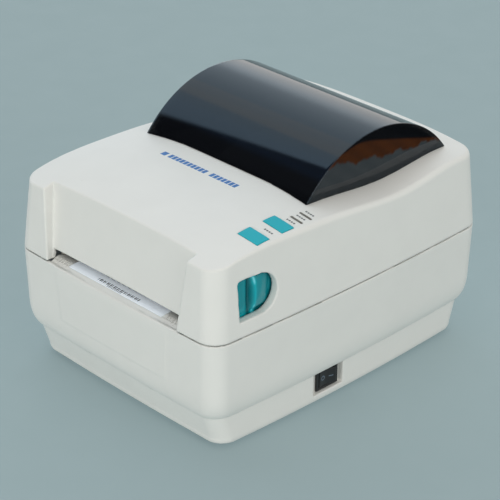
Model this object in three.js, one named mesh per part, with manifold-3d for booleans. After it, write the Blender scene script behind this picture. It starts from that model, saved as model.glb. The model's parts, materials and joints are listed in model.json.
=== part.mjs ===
// A desktop thermal label printer for 100 mm wide labels, in millimetres.
// +Z is up, the front (label exit) faces -Y, and the right side (power switch) faces +X.
// Everything is placed from the middle of the body (x, y) and from the floor (z).
// The finished assembly is then moved forward by half of the hinge's overhang, so that its
// origin is the centre of its bounding box on the floor.
import * as THREE from "three";
import { mergeVertices } from "three/addons/utils/BufferGeometryUtils.js";
import Module from "manifold-3d";

const wasm = await Module();
wasm.setup();

// ---- Driving dimensions ----
const HALF_WIDTH = 113; // body, at the seam
const HALF_DEPTH = 143.5; // body, at the seam
const SIDE_BOW = 4; // how far the side walls bulge between their corners
const END_BOW = 1.6; // the same for the front and rear walls
const WALL = 2.6; // shell thickness
const CORNER = 15; // vertical corner radius
const GAP = 0.3; // between neighbouring pieces
const SHELL_BOTTOM = 29;
const SEAM_LOW = 93.5; // top edge of the lower shell
const SEAM_HIGH = 94.5; // bottom edge of the cover
const PAN_BOTTOM = 3; // the feet lift the base pan this far
const PAN_FLOOR = 5.5;

const HINGE = { y: 148.5, z: 94, knuckle: 4.5, pin: 2, bore: 2.3 };
const POCKET = { halfWidth: 71.3, widen: 6.5 / 56, y: -135.3, lean: 8.3 / 51.9, bottom: 102.6 };
const WINDOW = { halfWidth: 86.2, y: 45.5, z: 99.9, radius: 95.4, front: -30, rear: 121, wall: 2.4 };
const WINDOW_HOLE = { halfWidth: 82.5, front: -23, rear: 115 };
const BUTTONS = { left: 83, right: 102.2, depth: 11.8, feedY: -88.4, pauseY: -64.2 };
const LENSES = { left: 90.3, right: 101.5, depth: 1.6, errorY: -49.3, powerY: -40.2 };

const PLATEN = { y: -118, z: 88.6, radius: 8, halfLength: 56, shaft: 4 };
const LATCH = { y: -100, z: 112, shaft: 3 };
const CATCH = { y: -108, z: 90, pin: 2 };
const MOTOR = { y: -99.2, z: 56, size: 42 };
const ROLL = { y: 48, z: 88, radius: 58, bore: 21, halfWidth: 51 };
const GEAR = { fine: 0.8, coarse: 1, platen: 24, idlerSmall: 14, idlerLarge: 36, motor: 12 };
const GUIDE = { teeth: 16, module: 1, low: 18.5, high: 21.5 };
const ROCKER = { x: 97.5, y: -20, z: 18.9, tilt: (-8 * Math.PI) / 180 };
const SCREW_PLACES = [
  [90, -100],
  [-90, -100],
  [92, 119],
  [-92, 119],
];
const FOOT_PLACES = {
  foot_front_left: [-78, -114],
  foot_front_right: [78, -114],
  foot_rear_left: [-78, 112],
  foot_rear_right: [78, 112],
};

// ---- Finishes ----
const finish = (color, roughness, metalness = 0, extra = {}) =>
  new THREE.MeshStandardMaterial({ color, roughness, metalness, ...extra });
const WHITE_PLASTIC = finish(0xdfe1dc, 0.55);
const GREY_PLASTIC = finish(0x8d9294, 0.6);
const BLACK_PLASTIC = finish(0x232526, 0.5);
const TEAL_PLASTIC = finish(0x4bb0bf, 0.35);
const SMOKED_PLASTIC = finish(0x11161f, 0.08, 0, { transparent: true, opacity: 0.85 });
const CLEAR_LENS = finish(0xd9dedc, 0.3);
const RUBBER = finish(0x1f2021, 0.85);
const STEEL = finish(0xb8babc, 0.35, 0.9);
const ALUMINIUM = finish(0xc6c9cb, 0.4, 0.9);
const CERAMIC = finish(0xd8cfc0, 0.5);
const CIRCUIT_BOARD = finish(0x1f5a3a, 0.5);
const NYLON = finish(0xe6e3d8, 0.5);
const PAPER = finish(0xf3f3ef, 0.8);
const CARDBOARD = finish(0xb48a58, 0.85);

// ---- Solids ----
function solidFrom(geometry) {
  const bare = geometry.clone();
  bare.deleteAttribute("normal");
  bare.deleteAttribute("uv");
  const merged = mergeVertices(bare, 1e-4);
  return new wasm.Manifold(
    new wasm.Mesh({
      numProp: 3,
      vertProperties: new Float32Array(merged.attributes.position.array),
      triVerts: new Uint32Array(merged.index.array),
    }),
  );
}

function geometryFrom(solid) {
  const mesh = solid.getMesh();
  const positions = new Float32Array(mesh.numVert * 3);
  for (let i = 0; i < mesh.numVert; i++) {
    const from = i * mesh.numProp;
    positions.set(mesh.vertProperties.subarray(from, from + 3), i * 3);
  }
  const indexed = new THREE.BufferGeometry();
  indexed.setAttribute("position", new THREE.BufferAttribute(positions, 3));
  indexed.setIndex(new THREE.BufferAttribute(new Uint32Array(mesh.triVerts), 1));
  const geometry = indexed.toNonIndexed();
  geometry.computeVertexNormals();
  return geometry;
}

const join = (...solids) => solids.reduce((a, b) => a.add(b));
const cut = (solid, ...tools) => tools.reduce((a, b) => a.subtract(b), solid);

function box(x0, x1, y0, y1, z0, z1) {
  const geometry = new THREE.BoxGeometry(x1 - x0, y1 - y0, z1 - z0);
  return solidFrom(geometry.translate((x0 + x1) / 2, (y0 + y1) / 2, (z0 + z1) / 2));
}

// Turns an outline's own axes into the two that lie across the given axis: the outline is
// [x, y] along z, [y, z] along x and [z, x] along y.
const AXIS_TURN = {
  z: new THREE.Matrix4(),
  x: new THREE.Matrix4().set(0, 0, 1, 0, 1, 0, 0, 0, 0, 1, 0, 0, 0, 0, 0, 1),
  y: new THREE.Matrix4().set(0, 1, 0, 0, 0, 0, 1, 0, 1, 0, 0, 0, 0, 0, 0, 1),
};

function prism(axis, outline, from, to) {
  const shape = new THREE.Shape(outline.map(([u, v]) => new THREE.Vector2(u, v)));
  const geometry = new THREE.ExtrudeGeometry(shape, { depth: to - from, bevelEnabled: false });
  return solidFrom(geometry.translate(0, 0, from).applyMatrix4(AXIS_TURN[axis]));
}

function arc(u, v, radius, from, to, steps, radiusV = radius) {
  return Array.from({ length: steps + 1 }, (_, i) => {
    const angle = THREE.MathUtils.degToRad(from + ((to - from) * i) / steps);
    return [u + radius * Math.cos(angle), v + radiusV * Math.sin(angle)];
  });
}

const circle = (u, v, radius, sides = 20) => arc(u, v, radius, 0, 360 - 360 / sides, sides - 1);
const rod = (axis, u, v, radius, from, to, sides = 20) =>
  prism(axis, circle(u, v, radius, sides), from, to);

const mirrorX = (solid) => solid.mirror([1, 0, 0]);

// A closed solid through level outlines of equal point count, each convex.
function loft(rings) {
  const count = rings[0].length;
  const positions = rings.flat(2);
  const faces = [];
  for (let level = 0; level + 1 < rings.length; level++)
    for (let i = 0; i < count; i++) {
      const a = level * count + i;
      const b = level * count + ((i + 1) % count);
      faces.push(a, b, b + count, a, b + count, a + count);
    }
  const top = (rings.length - 1) * count;
  for (let i = 1; i + 1 < count; i++) faces.push(0, i + 1, i, top, top + i, top + i + 1);
  const geometry = new THREE.BufferGeometry();
  geometry.setAttribute("position", new THREE.Float32BufferAttribute(positions, 3));
  geometry.setIndex(faces);
  return solidFrom(geometry);
}

// The body's plan outline at one height: a rounded rectangle whose walls bulge a little.
function ring(z, halfWidth, front, rear, corner, bow = 1) {
  const middle = (front + rear) / 2;
  const halfDepth = (rear - front) / 2;
  const corners = [
    [halfWidth - corner, halfDepth - corner, 0],
    [corner - halfWidth, halfDepth - corner, 90],
    [corner - halfWidth, corner - halfDepth, 180],
    [halfWidth - corner, corner - halfDepth, 270],
  ];
  const square = [];
  corners.forEach(([x, y, start], i) => {
    const turn = arc(x, y, corner, start, start + 90, 4);
    square.push(...turn);
    const [nextX, nextY, nextStart] = corners[(i + 1) % 4];
    const [endX, endY] = turn[turn.length - 1];
    const [toX, toY] = arc(nextX, nextY, corner, nextStart, nextStart, 1)[0];
    for (const t of [0.25, 0.5, 0.75]) square.push([endX + (toX - endX) * t, endY + (toY - endY) * t]);
  });
  return square.map(([x, y]) => [
    x * (1 - ((bow * SIDE_BOW) / halfWidth) * (y / halfDepth) ** 2),
    y * (1 - ((bow * END_BOW) / halfDepth) * (x / halfWidth) ** 2) + middle,
    z,
  ]);
}

const LOWER_LEVELS = [
  [SHELL_BOTTOM, 106.5, -137, 137, 14],
  [31, 108.5, -139, 139, 14],
  [36, 110, -140.5, 140.5, 15],
  [55, 112, -142.5, 142.5, CORNER],
  [SEAM_LOW, HALF_WIDTH, -HALF_DEPTH, HALF_DEPTH, CORNER],
];
const PAN_LEVELS = [
  [PAN_BOTTOM, 103, -128, 129, 13],
  [8, 104.8, -129.5, 130.5, 13],
  [SHELL_BOTTOM, 105, -136.5, 137, 13],
  [33.5, 104.9, -136.5, 137, 13],
];
const COVER_LEVELS = [
  [SEAM_HIGH, HALF_WIDTH, -HALF_DEPTH, HALF_DEPTH, CORNER],
  [125, 110.8, -141, 141.6, CORNER],
  [150, 108.6, -138.6, 140, CORNER],
  [168, 107.2, -137, 139, CORNER],
];
const inset = (levels, by) =>
  levels.map(([z, a, front, rear, corner]) => [z, a - by, front + by, rear - by, corner - by]);
const loftLevels = (levels) => loft(levels.map((level) => ring(...level)));
const shifted = (levels, index, z) => levels.map((l, i) => (i === index ? [z, ...l.slice(1)] : l));

// ---- The cover's top surface ----
const smoothstep = (from, to, value) => THREE.MathUtils.smoothstep(value, from, to);

function topHeight(x, y) {
  const across = Math.abs(x) / 108;
  const ridge = 161.4 - 11 * Math.max(0, (-y - 60) / 80) ** 2.2;
  const crown = 5.5 - 2.5 * smoothstep(60, 140, -y);
  const dip = 6 * Math.exp(-(((y - 48) / 50) ** 2));
  const fall = 2 * smoothstep(100, 141, y);
  return ridge - fall - crown * across ** 3.7 - dip * smoothstep(0.45, 0.8, across);
}

// Everything below the top surface moved up or down by an offset, above a flat bottom.
function under(offset, bottom = 60, columns = 7, rows = 14) {
  const xs = Array.from({ length: columns * 2 + 1 }, (_, i) => {
    const t = (i - columns) / columns;
    return 118 * Math.sign(t) * Math.abs(t) ** 0.7;
  });
  const ys = Array.from({ length: rows + 1 }, (_, j) => -150 + (302 * j) / rows);
  const positions = [];
  const layer = xs.length * ys.length;
  for (const height of [(x, y) => topHeight(x, y) + offset, () => bottom])
    for (const y of ys) for (const x of xs) positions.push(x, y, height(x, y));
  const at = (i, j) => j * xs.length + i;
  const faces = [];
  const wall = (a, b) => faces.push(b, a, a + layer, b, a + layer, b + layer);
  for (let j = 0; j < rows; j++)
    for (let i = 0; i + 1 < xs.length; i++) {
      const [a, b, c, d] = [at(i, j), at(i + 1, j), at(i + 1, j + 1), at(i, j + 1)];
      faces.push(a, b, c, a, c, d);
      faces.push(a + layer, c + layer, b + layer, a + layer, d + layer, c + layer);
    }
  for (let i = 0; i + 1 < xs.length; i++) {
    wall(at(i, 0), at(i + 1, 0));
    wall(at(i + 1, rows), at(i, rows));
  }
  for (let j = 0; j < rows; j++) {
    wall(at(0, j + 1), at(0, j));
    wall(at(xs.length - 1, j), at(xs.length - 1, j + 1));
  }
  const geometry = new THREE.BufferGeometry();
  geometry.setAttribute("position", new THREE.Float32BufferAttribute(positions, 3));
  geometry.setIndex(faces);
  return solidFrom(geometry);
}

// ---- Gears ----
const PRESSURE_ANGLE = THREE.MathUtils.degToRad(20);
const BACKLASH = 0.3;
const ADDENDUM = 0.88;
const involute = (angle) => Math.tan(angle) - angle;

function gearOutline(u, v, teeth, module, toothAngle = 0) {
  const pitch = (teeth * module) / 2;
  const base = pitch * Math.cos(PRESSURE_ANGLE);
  const root = pitch - 1.25 * module;
  const tip = pitch + ADDENDUM * module;
  const atPitch = ((Math.PI * module) / 2 - BACKLASH) / (2 * pitch) + involute(PRESSURE_ANGLE);
  const halfAngle = (r) => atPitch - involute(Math.acos(Math.min(1, base / r)));
  const radii = teeth > 20 ? [tip] : [pitch, tip];
  const flank = [Math.max(base, root + 0.01), ...radii].map((r) => [r, halfAngle(r)]);
  const half = [[root, flank[0][1]], ...flank];
  const points = [];
  for (let i = 0; i < teeth; i++) {
    const middle = toothAngle + (2 * Math.PI * i) / teeth;
    const side = (sign) => ([r, a]) => [
      u + r * Math.cos(middle + sign * a),
      v + r * Math.sin(middle + sign * a),
    ];
    points.push(...half.map(side(-1)), ...[...half].reverse().map(side(1)));
  }
  return points;
}

// A straight rack whose teeth point to -y and whose gaps are centred on multiples of the pitch.
function rackOutline(firstGap, lastGap, pitchY, backY, module) {
  const halfTooth = (Math.PI * module) / 4 - BACKLASH / 2;
  const tipHalf = halfTooth - ADDENDUM * module * Math.tan(PRESSURE_ANGLE);
  const rootHalf = halfTooth + 1.25 * module * Math.tan(PRESSURE_ANGLE);
  const tipY = pitchY - ADDENDUM * module;
  const rootY = pitchY + 1.25 * module;
  const points = [[firstGap * Math.PI * module, rootY]];
  for (let i = firstGap; i < lastGap; i++) {
    const x = (i + 0.5) * Math.PI * module;
    points.push([x - rootHalf, rootY], [x - tipHalf, tipY], [x + tipHalf, tipY], [x + rootHalf, rootY]);
  }
  const endX = lastGap * Math.PI * module;
  return [...points, [endX, rootY], [endX, backY], [points[0][0], backY]];
}

class Helix extends THREE.Curve {
  constructor(radius, length, turns) {
    super();
    Object.assign(this, { radius, length, turns });
  }
  getPoint(t, target = new THREE.Vector3()) {
    const angle = 2 * Math.PI * this.turns * t;
    return target.set(
      this.radius * Math.cos(angle),
      this.radius * Math.sin(angle),
      this.length * t,
    );
  }
}

function coilSpring(radius, wire, length, turns) {
  const section = new THREE.Shape(circle(0, 0, wire, 5).map(([u, v]) => new THREE.Vector2(u, v)));
  const path = new Helix(radius, length - 2 * wire, turns);
  const geometry = new THREE.ExtrudeGeometry(section, { steps: turns * 8, extrudePath: path });
  return solidFrom(geometry.translate(0, 0, wire));
}

// ---- Assembly bookkeeping ----
const printer = new THREE.Group();
const assembly = new THREE.Group();
assembly.position.y = -(HINGE.y + HINGE.knuckle - HALF_DEPTH) / 2;
printer.add(assembly);

function place(name, solid, material) {
  const mesh = new THREE.Mesh(geometryFrom(solid), material);
  mesh.name = name;
  assembly.add(mesh);
}

// ---- Base ----
const SWITCH_RECESS = { x: 100.4, front: -37, rear: -6, low: 9.3, high: 28.6 };
const USB = { x: -36, halfWidth: 6, low: 11.4, high: 22.4 };
const POWER_INLET = { x: -12, halfWidth: 4.8, low: 11.4, high: 22.4 };
const SERIAL = { x: -64, halfWidth: 15.5, low: 11.4, high: 23.2 };
const SOCKET_REAR = 131;

function basePan() {
  const wall = 2.4;
  const above = [40, 102.5, -134, 134.6, 10];
  const hollow = loftLevels([...shifted(inset(PAN_LEVELS, wall), 0, PAN_FLOOR), above]);
  const r = SWITCH_RECESS;
  let pan = cut(loftLevels(PAN_LEVELS), hollow);
  pan = join(pan, box(97.8, 104, r.front - 2, r.rear + 2, PAN_FLOOR - 1, 33));
  pan = cut(pan, box(r.x, 112, r.front, r.rear, r.low, r.high));
  pan = cut(pan, box(90, 105, ROCKER.y - 10, ROCKER.y + 10, ROCKER.z - 8.3, ROCKER.z + 8.3));
  for (const [x, y] of SCREW_PLACES) {
    pan = join(pan, rod("z", x, y, 5, PAN_BOTTOM + 1, 12.2));
    pan = cut(pan, rod("z", x, y, 1.9, 0, 20, 16), rod("z", x, y, 4, 0, 7));
  }
  for (const [x, y] of Object.values(FOOT_PLACES)) pan = cut(pan, rod("z", x, y, 9.4, 0, 3.8, 28));
  for (const [x, y] of [[-78, 36], [34, 36], [-78, 120], [34, 120]])
    pan = join(pan, rod("z", x, y, 3, PAN_BOTTOM + 1, 9.2, 16));
  for (const s of [USB, POWER_INLET, SERIAL]) {
    const half = s.halfWidth + 0.4;
    pan = cut(pan, box(s.x - half, s.x + half, 122, 145, s.low - 0.4, s.high + 0.4));
  }
  // Cooling slots under the circuit board.
  for (let x = -60; x <= 20; x += 16) pan = cut(pan, box(x, x + 3, 60, 100, 0, 8));
  return pan;
}

function foot(x, y) {
  const profile = [[0, 0], [7.6, 0], [9, 1.2], [9, 3.5], [0, 3.5]].map(([r, z]) => new THREE.Vector2(r, z));
  const lathe = new THREE.LatheGeometry(profile, 28);
  return solidFrom(lathe.rotateX(Math.PI / 2).translate(x, y, 0));
}

function baseScrew(x, y) {
  const head = cut(rod("z", x, y, 3.4, 4, 6.6, 20), box(x - 2.4, x + 2.4, y - 0.4, y + 0.4, 3, 5.2));
  return join(head, rod("z", x, y, 1.5, 6.5, 24, 12));
}

// The ramp that the labels leave over, seen from the side.
const EXIT_RAMP = [
  [-141, 90.5],
  [-128.5, 90.5],
  [-128.5, 95.9],
  [-133.5, 95.9],
  [-141, 92.6],
];

function lowerShell() {
  const opening = loft([20, 38].map((z) => ring(z, 105.4, -137.1, 137.6, 13)));
  const above = [100, 110.5, -141, 141, CORNER - WALL];
  const inner = loftLevels([...shifted(inset(LOWER_LEVELS, WALL).slice(1), 0, 31.6), above]);
  let shell = cut(loftLevels(LOWER_LEVELS), opening, inner);
  // A raised lip behind the seam keeps dust and light out along the sides and the rear.
  const lipOuter = loft([86, 97].map((z) => ring(z, 109.6, -140, 139.9, 12)));
  const lipInner = loft([80, 99].map((z) => ring(z, 108.2, -138, 138.5, 11)));
  const lipBand = loft([86, 88].map((z) => ring(z, 111.2, -142, 141.4, 13)));
  const lipFront = box(-120, 120, -150, -80, 80, 100);
  shell = join(shell, cut(join(lipOuter, lipBand), lipInner, lipFront));
  // The ramp's left end leaves room for the platen's gear.
  const gearRoom = rod("x", PLATEN.y, PLATEN.z, 13.4, -71, -68, 32);
  shell = join(shell, cut(prism("x", EXIT_RAMP, -70.3, 70.3), gearRoom));
  for (const [x, y] of SCREW_PLACES) {
    const side = Math.sign(x);
    const rib = [x, side * 106.5].sort((a, b) => a - b);
    shell = join(shell, rod("z", x, y, 4.5, 12.6, 60), box(...rib, y - 1, y + 1, 40, 60));
    shell = cut(shell, rod("z", x, y, 1.8, 0, 30, 12));
  }
  for (const side of [1, -1]) {
    const block = [side * 96, side * 109.3].sort((a, b) => a - b);
    const bore = [side * 90, side * 102.4].sort((a, b) => a - b);
    shell = join(shell, box(...block, CATCH.y - 4.5, CATCH.y + 4.5, 82, 93));
    shell = cut(shell, rod("x", CATCH.y, CATCH.z, CATCH.pin + GAP, ...bore));
    for (const [from, to] of [[40, 52], [64, 76]]) shell = join(shell, hingeEar(side * from, side * to));
    const pinBore = [side * 30, side * 80].sort((a, b) => a - b);
    shell = cut(shell, rod("x", HINGE.y, HINGE.z, HINGE.bore, ...pinBore));
  }
  return shell;
}

// A knuckle of the lower shell: a round eye on a gusset that stays below the seam.
function hingeEar(a, b) {
  const [from, to] = [Math.min(a, b), Math.max(a, b)];
  const gusset = [[141.6, 76], [141.6, 92.4], [HINGE.y, HINGE.z], [152.6, 92]].reverse();
  return join(rod("x", HINGE.y, HINGE.z, HINGE.knuckle, from, to), prism("x", gusset, from, to));
}

function switchHousing() {
  const { y, z } = ROCKER;
  const bezel = box(100.7, 102.3, y - 11.4, y + 11.4, z - 9.2, z + 9.2);
  const barrel = box(86, 101, y - 9.7, y + 9.7, z - 8, z + 8);
  const hollow = box(92.4, 110, y - 8.8, y + 8.8, z - 7, z + 7);
  const tabs = [-5, 0, 5].map((d) => box(79, 87, y + d - 0.4, y + d + 0.4, z - 2.4, z + 2.4));
  const trunnion = rod("z", ROCKER.x, y, 1.1, z - 7.1, z + 7.1, 16);
  return join(cut(join(bezel, barrel), hollow), trunnion, ...tabs);
}

function powerRocker() {
  const halfLength = 7.8;
  const outline = [
    [-3, -6.4],
    [1.5, -halfLength],
    [6.6, -halfLength],
    [5.6, -4.5],
    [4.9, 0],
    [5.6, 4.5],
    [6.6, halfLength],
    [1.5, halfLength],
    [-3, 6.4],
  ];
  const cosine = Math.cos(ROCKER.tilt);
  const sine = Math.sin(ROCKER.tilt);
  const turned = outline.map(([x, y]) => [
    ROCKER.x + x * cosine - y * sine,
    ROCKER.y + x * sine + y * cosine,
  ]);
  const body = prism("z", turned, ROCKER.z - 6.6, ROCKER.z + 6.6);
  return cut(body, rod("z", ROCKER.x, ROCKER.y, 1.45, 0, 40, 16));
}

// ---- Label feed ----
const EAR = { from: 64, to: 66 };
const idlerCentre = (() => {
  // The idler lies between the platen's gear and the motor's pinion, on the rear side.
  const toPlaten = ((GEAR.platen + GEAR.idlerSmall) / 2) * GEAR.coarse;
  const toMotor = ((GEAR.idlerLarge + GEAR.motor) / 2) * GEAR.fine;
  const dy = MOTOR.y - PLATEN.y;
  const dz = MOTOR.z - PLATEN.z;
  const span = Math.hypot(dy, dz);
  const along = (span ** 2 + toPlaten ** 2 - toMotor ** 2) / (2 * span);
  const aside = Math.sqrt(Math.max(0, toPlaten ** 2 - along ** 2));
  return {
    y: PLATEN.y + (dy * along) / span - (dz * aside) / span,
    z: PLATEN.z + (dz * along) / span + (dy * aside) / span,
  };
})();

function frontChassis() {
  const ear = (front, rear) => [[front, 24], [rear, 24], [rear, 76], [-100, 98], [front, 98]];
  let chassis = box(-EAR.to, EAR.to, -127.5, -66, 24, 26);
  chassis = join(chassis, prism("x", ear(-127.5, -92), EAR.from, EAR.to));
  chassis = join(chassis, prism("x", ear(-127.5, -70), -EAR.to, -EAR.from));
  chassis = join(chassis, box(-EAR.to, EAR.to, -98, -93, 82, 84.5));
  chassis = cut(chassis, rod("x", PLATEN.y, PLATEN.z, 6, -70, 70));
  chassis = cut(chassis, rod("x", MOTOR.y, MOTOR.z, 11.4, -70, -60));
  chassis = cut(chassis, rod("x", idlerCentre.y, idlerCentre.z, 2.3, -70, -60, 16));
  const holes = [-52, -26, 26, 52].map((x) => rod("z", x, -74, 2.2, 20, 30, 12));
  // Feet that stand on the base pan.
  const legs = [[-58, -120], [58, -120], [-58, -72], [58, -72]].map(([x, y]) =>
    box(x - 4, x + 4, y - 4, y + 4, PAN_FLOOR + GAP, 24.5),
  );
  return join(cut(chassis, ...holes), ...legs);
}

function bushing(side) {
  const sleeve = rod("x", PLATEN.y, PLATEN.z, 5.7, 62.4, 67);
  const flange = rod("x", PLATEN.y, PLATEN.z, 7.4, 62.2, 63.7);
  const made = cut(join(sleeve, flange), rod("x", PLATEN.y, PLATEN.z, 4.3, 50, 80));
  return side > 0 ? made : mirrorX(made);
}

function stepperMotor() {
  const half = MOTOR.size / 2;
  const { y, z } = MOTOR;
  const chamfered = (h, c) => [
    [y - h, z - h + c],
    [y - h + c, z - h],
    [y + h - c, z - h],
    [y + h, z - h + c],
    [y + h, z + h - c],
    [y + h - c, z + h],
    [y - h + c, z + h],
    [y - h, z + h - c],
  ];
  const rear = -29.7;
  const front = -(EAR.from - GAP);
  const frontCap = prism("x", chamfered(half, 4), front, front + 8);
  const rearCap = prism("x", chamfered(half, 4), rear - 8, rear);
  const stack = prism("x", chamfered(half - 1.2, 4), front + 7, rear - 7);
  const boss = rod("x", y, z, 11, front - 1.8, front + 1);
  const connector = box(rear - 9, rear - 1, y - 8, y + 8, z - half - 5, z - half + 1);
  const bore = rod("x", y, z, 2.9, front - 5, rear - 6);
  return cut(join(frontCap, rearCap, stack, boss, connector), bore);
}

const toothTowards = (from, to) => Math.atan2(to.z - from.z, to.y - from.y);
const GEAR_NEAR = [-72.5, -68.5];
const GEAR_FAR = [-77, -73];

function platenGear() {
  const aim = toothTowards(PLATEN, idlerCentre);
  const teeth = prism("x", gearOutline(PLATEN.y, PLATEN.z, GEAR.platen, GEAR.coarse, aim), ...GEAR_NEAR);
  return cut(teeth, rod("x", PLATEN.y, PLATEN.z, PLATEN.shaft + GAP, -80, -60));
}

function idlerGear() {
  const { y, z } = idlerCentre;
  const smallAim = toothTowards(idlerCentre, PLATEN) + Math.PI / GEAR.idlerSmall;
  const largeAim = toothTowards(idlerCentre, MOTOR);
  const small = prism("x", gearOutline(y, z, GEAR.idlerSmall, GEAR.coarse, smallAim), ...GEAR_NEAR);
  const large = prism("x", gearOutline(y, z, GEAR.idlerLarge, GEAR.fine, largeAim), ...GEAR_FAR);
  const hub = rod("x", y, z, 5, -76, -68);
  return cut(join(small, large, hub), rod("x", y, z, 2.5, -80, -60, 20));
}

function motorPinion() {
  const aim = toothTowards(MOTOR, idlerCentre) + Math.PI / GEAR.motor;
  const teeth = prism("x", gearOutline(MOTOR.y, MOTOR.z, GEAR.motor, GEAR.fine, aim), ...GEAR_FAR);
  const collar = rod("x", MOTOR.y, MOTOR.z, 3.7, -74, -68);
  return cut(join(teeth, collar), rod("x", MOTOR.y, MOTOR.z, 2.8, -80, -60, 20));
}

function idlerStud() {
  const { y, z } = idlerCentre;
  const head = rod("x", y, z, 3.4, -79, -77.3, 20);
  const flange = rod("x", y, z, 4, -67.6, -66.3, 20);
  return join(rod("x", y, z, 2, -78, -64.3, 20), head, flange);
}

// ---- Label roll and its holders ----
function holder() {
  const plate = [
    [ROLL.y - 26, 27.2],
    [ROLL.y + 26, 27.2],
    ...arc(ROLL.y, ROLL.z, 20, 0, 180, 14),
  ];
  const rackY = ROLL.y + (GUIDE.teeth * GUIDE.module) / 2;
  let made = prism("x", plate, 51.6, 55.6);
  made = join(made, box(51.6, 66, ROLL.y - 18, ROLL.y + 18, 27.2, 30));
  for (const y of [-16, 16])
    made = join(made, prism("y", [[29, 55], [29, 65], [60, 55]], ROLL.y + y - 1.2, ROLL.y + y + 1.2));
  made = cut(made, rod("x", ROLL.y, ROLL.z, 6.3, 40, 70));
  const rack = rackOutline(-4, 17, rackY, rackY + 4.5, GUIDE.module);
  made = join(made, box(50, 54, rackY + 1.4, rackY + 4.5, GUIDE.low, 28));
  return join(made, prism("z", rack, GUIDE.low, GUIDE.high));
}

const halfTurnAboutGuide = (solid) =>
  solid.translate([0, -ROLL.y, 0]).rotate([0, 0, 180]).translate([0, ROLL.y, 0]);

function guidePinion() {
  const outline = gearOutline(0, ROLL.y, GUIDE.teeth, GUIDE.module, Math.PI / 2);
  return cut(prism("z", outline, GUIDE.low, GUIDE.high), rod("z", 0, ROLL.y, 2.5, 0, 40, 20));
}

function mediaBay() {
  const front = -4;
  const rear = 112;
  const half = 96;
  let bay = box(-half, half, front, rear, 24, 26.5);
  for (const x of [-half, half - 2]) bay = join(bay, box(x, x + 2, front, rear, 24, 70));
  for (const y of [front, rear - 2]) bay = join(bay, box(-half, half, y, y + 2, 24, 36));
  const slot = box(49.4, 66.8, ROLL.y + 8.8, ROLL.y + 13.2, 20, 30);
  bay = cut(bay, slot, halfTurnAboutGuide(slot));
  const stud = join(rod("z", 0, ROLL.y, 2.1, 16.8, 25, 20), rod("z", 0, ROLL.y, 4, 16.8, 18, 20));
  bay = join(bay, stud);
  for (const [x, y] of [[-90, 6], [90, 6], [-90, 98], [90, 98]])
    bay = join(bay, rod("z", x, y, 4, PAN_FLOOR + GAP, 25, 16));
  return bay;
}

function rollHub(side) {
  const plug = rod("x", ROLL.y, ROLL.z, 18.4, 43.2, 51.2, 24);
  const axle = rod("x", ROLL.y, ROLL.z, 5.9, 50, 58);
  const made = join(plug, axle, rod("x", ROLL.y, ROLL.z, 8, 56, 58.6));
  return side > 0 ? made : mirrorX(made);
}

const tube = (axis, u, v, outer, inner, from, to, sides) =>
  cut(rod(axis, u, v, outer, from, to, sides), rod(axis, u, v, inner, from - 1, to + 1, sides));

// The strip of labels from the roll, through the nip, to the exit.
function labelWeb() {
  const thickness = 0.3;
  const nip = [PLATEN.y + 12, 97.0];
  const reach = ROLL.radius + GAP + thickness / 2;
  const toRoll = [ROLL.y - nip[0], ROLL.z - nip[1]];
  const distance = Math.hypot(...toRoll);
  const rise = Math.atan2(toRoll[1], toRoll[0]) + Math.asin(reach / distance);
  const tangent = Math.sqrt(distance ** 2 - reach ** 2);
  const points = [
    [-138.5, 95.75],
    [-133, 96.35],
    [-127, 97.0],
    nip,
    [nip[0] + tangent * Math.cos(rise), nip[1] + tangent * Math.sin(rise)],
  ];
  const lower = points.map(([y, z]) => [y, z - thickness / 2]);
  const upper = points.map(([y, z]) => [y, z + thickness / 2]);
  return prism("x", [...lower, ...upper.reverse()], -ROLL.halfWidth, ROLL.halfWidth);
}

// ---- Cover ----
const LATCH_OPENING = [
  [-117.3, 106],
  ...arc(-98, 121.65, 17, -90, 90, 16, 15.65),
  ...arc(-113.3, 133.3, 4, 90, 180, 5),
];
const LINER = { low: 128, high: 131, halfWidth: 96, front: -124, rear: -34 };
const COVER_BOSSES = [[60, -112], [-60, -112], [60, -42], [-60, -42]];

function pocketTool(grow) {
  const halfWidth = (z) => POCKET.halfWidth + (z - 94) * POCKET.widen + grow;
  const back = (z) => POCKET.y + (z - POCKET.bottom) * POCKET.lean + grow;
  const corners = (z) => [
    [-halfWidth(z), -160, z],
    [halfWidth(z), -160, z],
    [halfWidth(z), back(z), z],
    [-halfWidth(z), back(z), z],
  ];
  return loft([80, 175].map(corners));
}

const lidHole = (x0, x1, y0, y1, grow) =>
  box(x0 - grow, x1 + grow, y0 - grow, y1 + grow, 140, 175);
function upright({ left, right, depth }, y, grow, low) {
  const half = depth / 2 + grow;
  return box(left - grow, right + grow, y - half, y + half, low, 175);
}
const buttonBox = (y, grow = 0) => upright(BUTTONS, y, grow, 152);
const lensBox = (y, grow = 0) => upright(LENSES, y, grow, 150);

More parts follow.
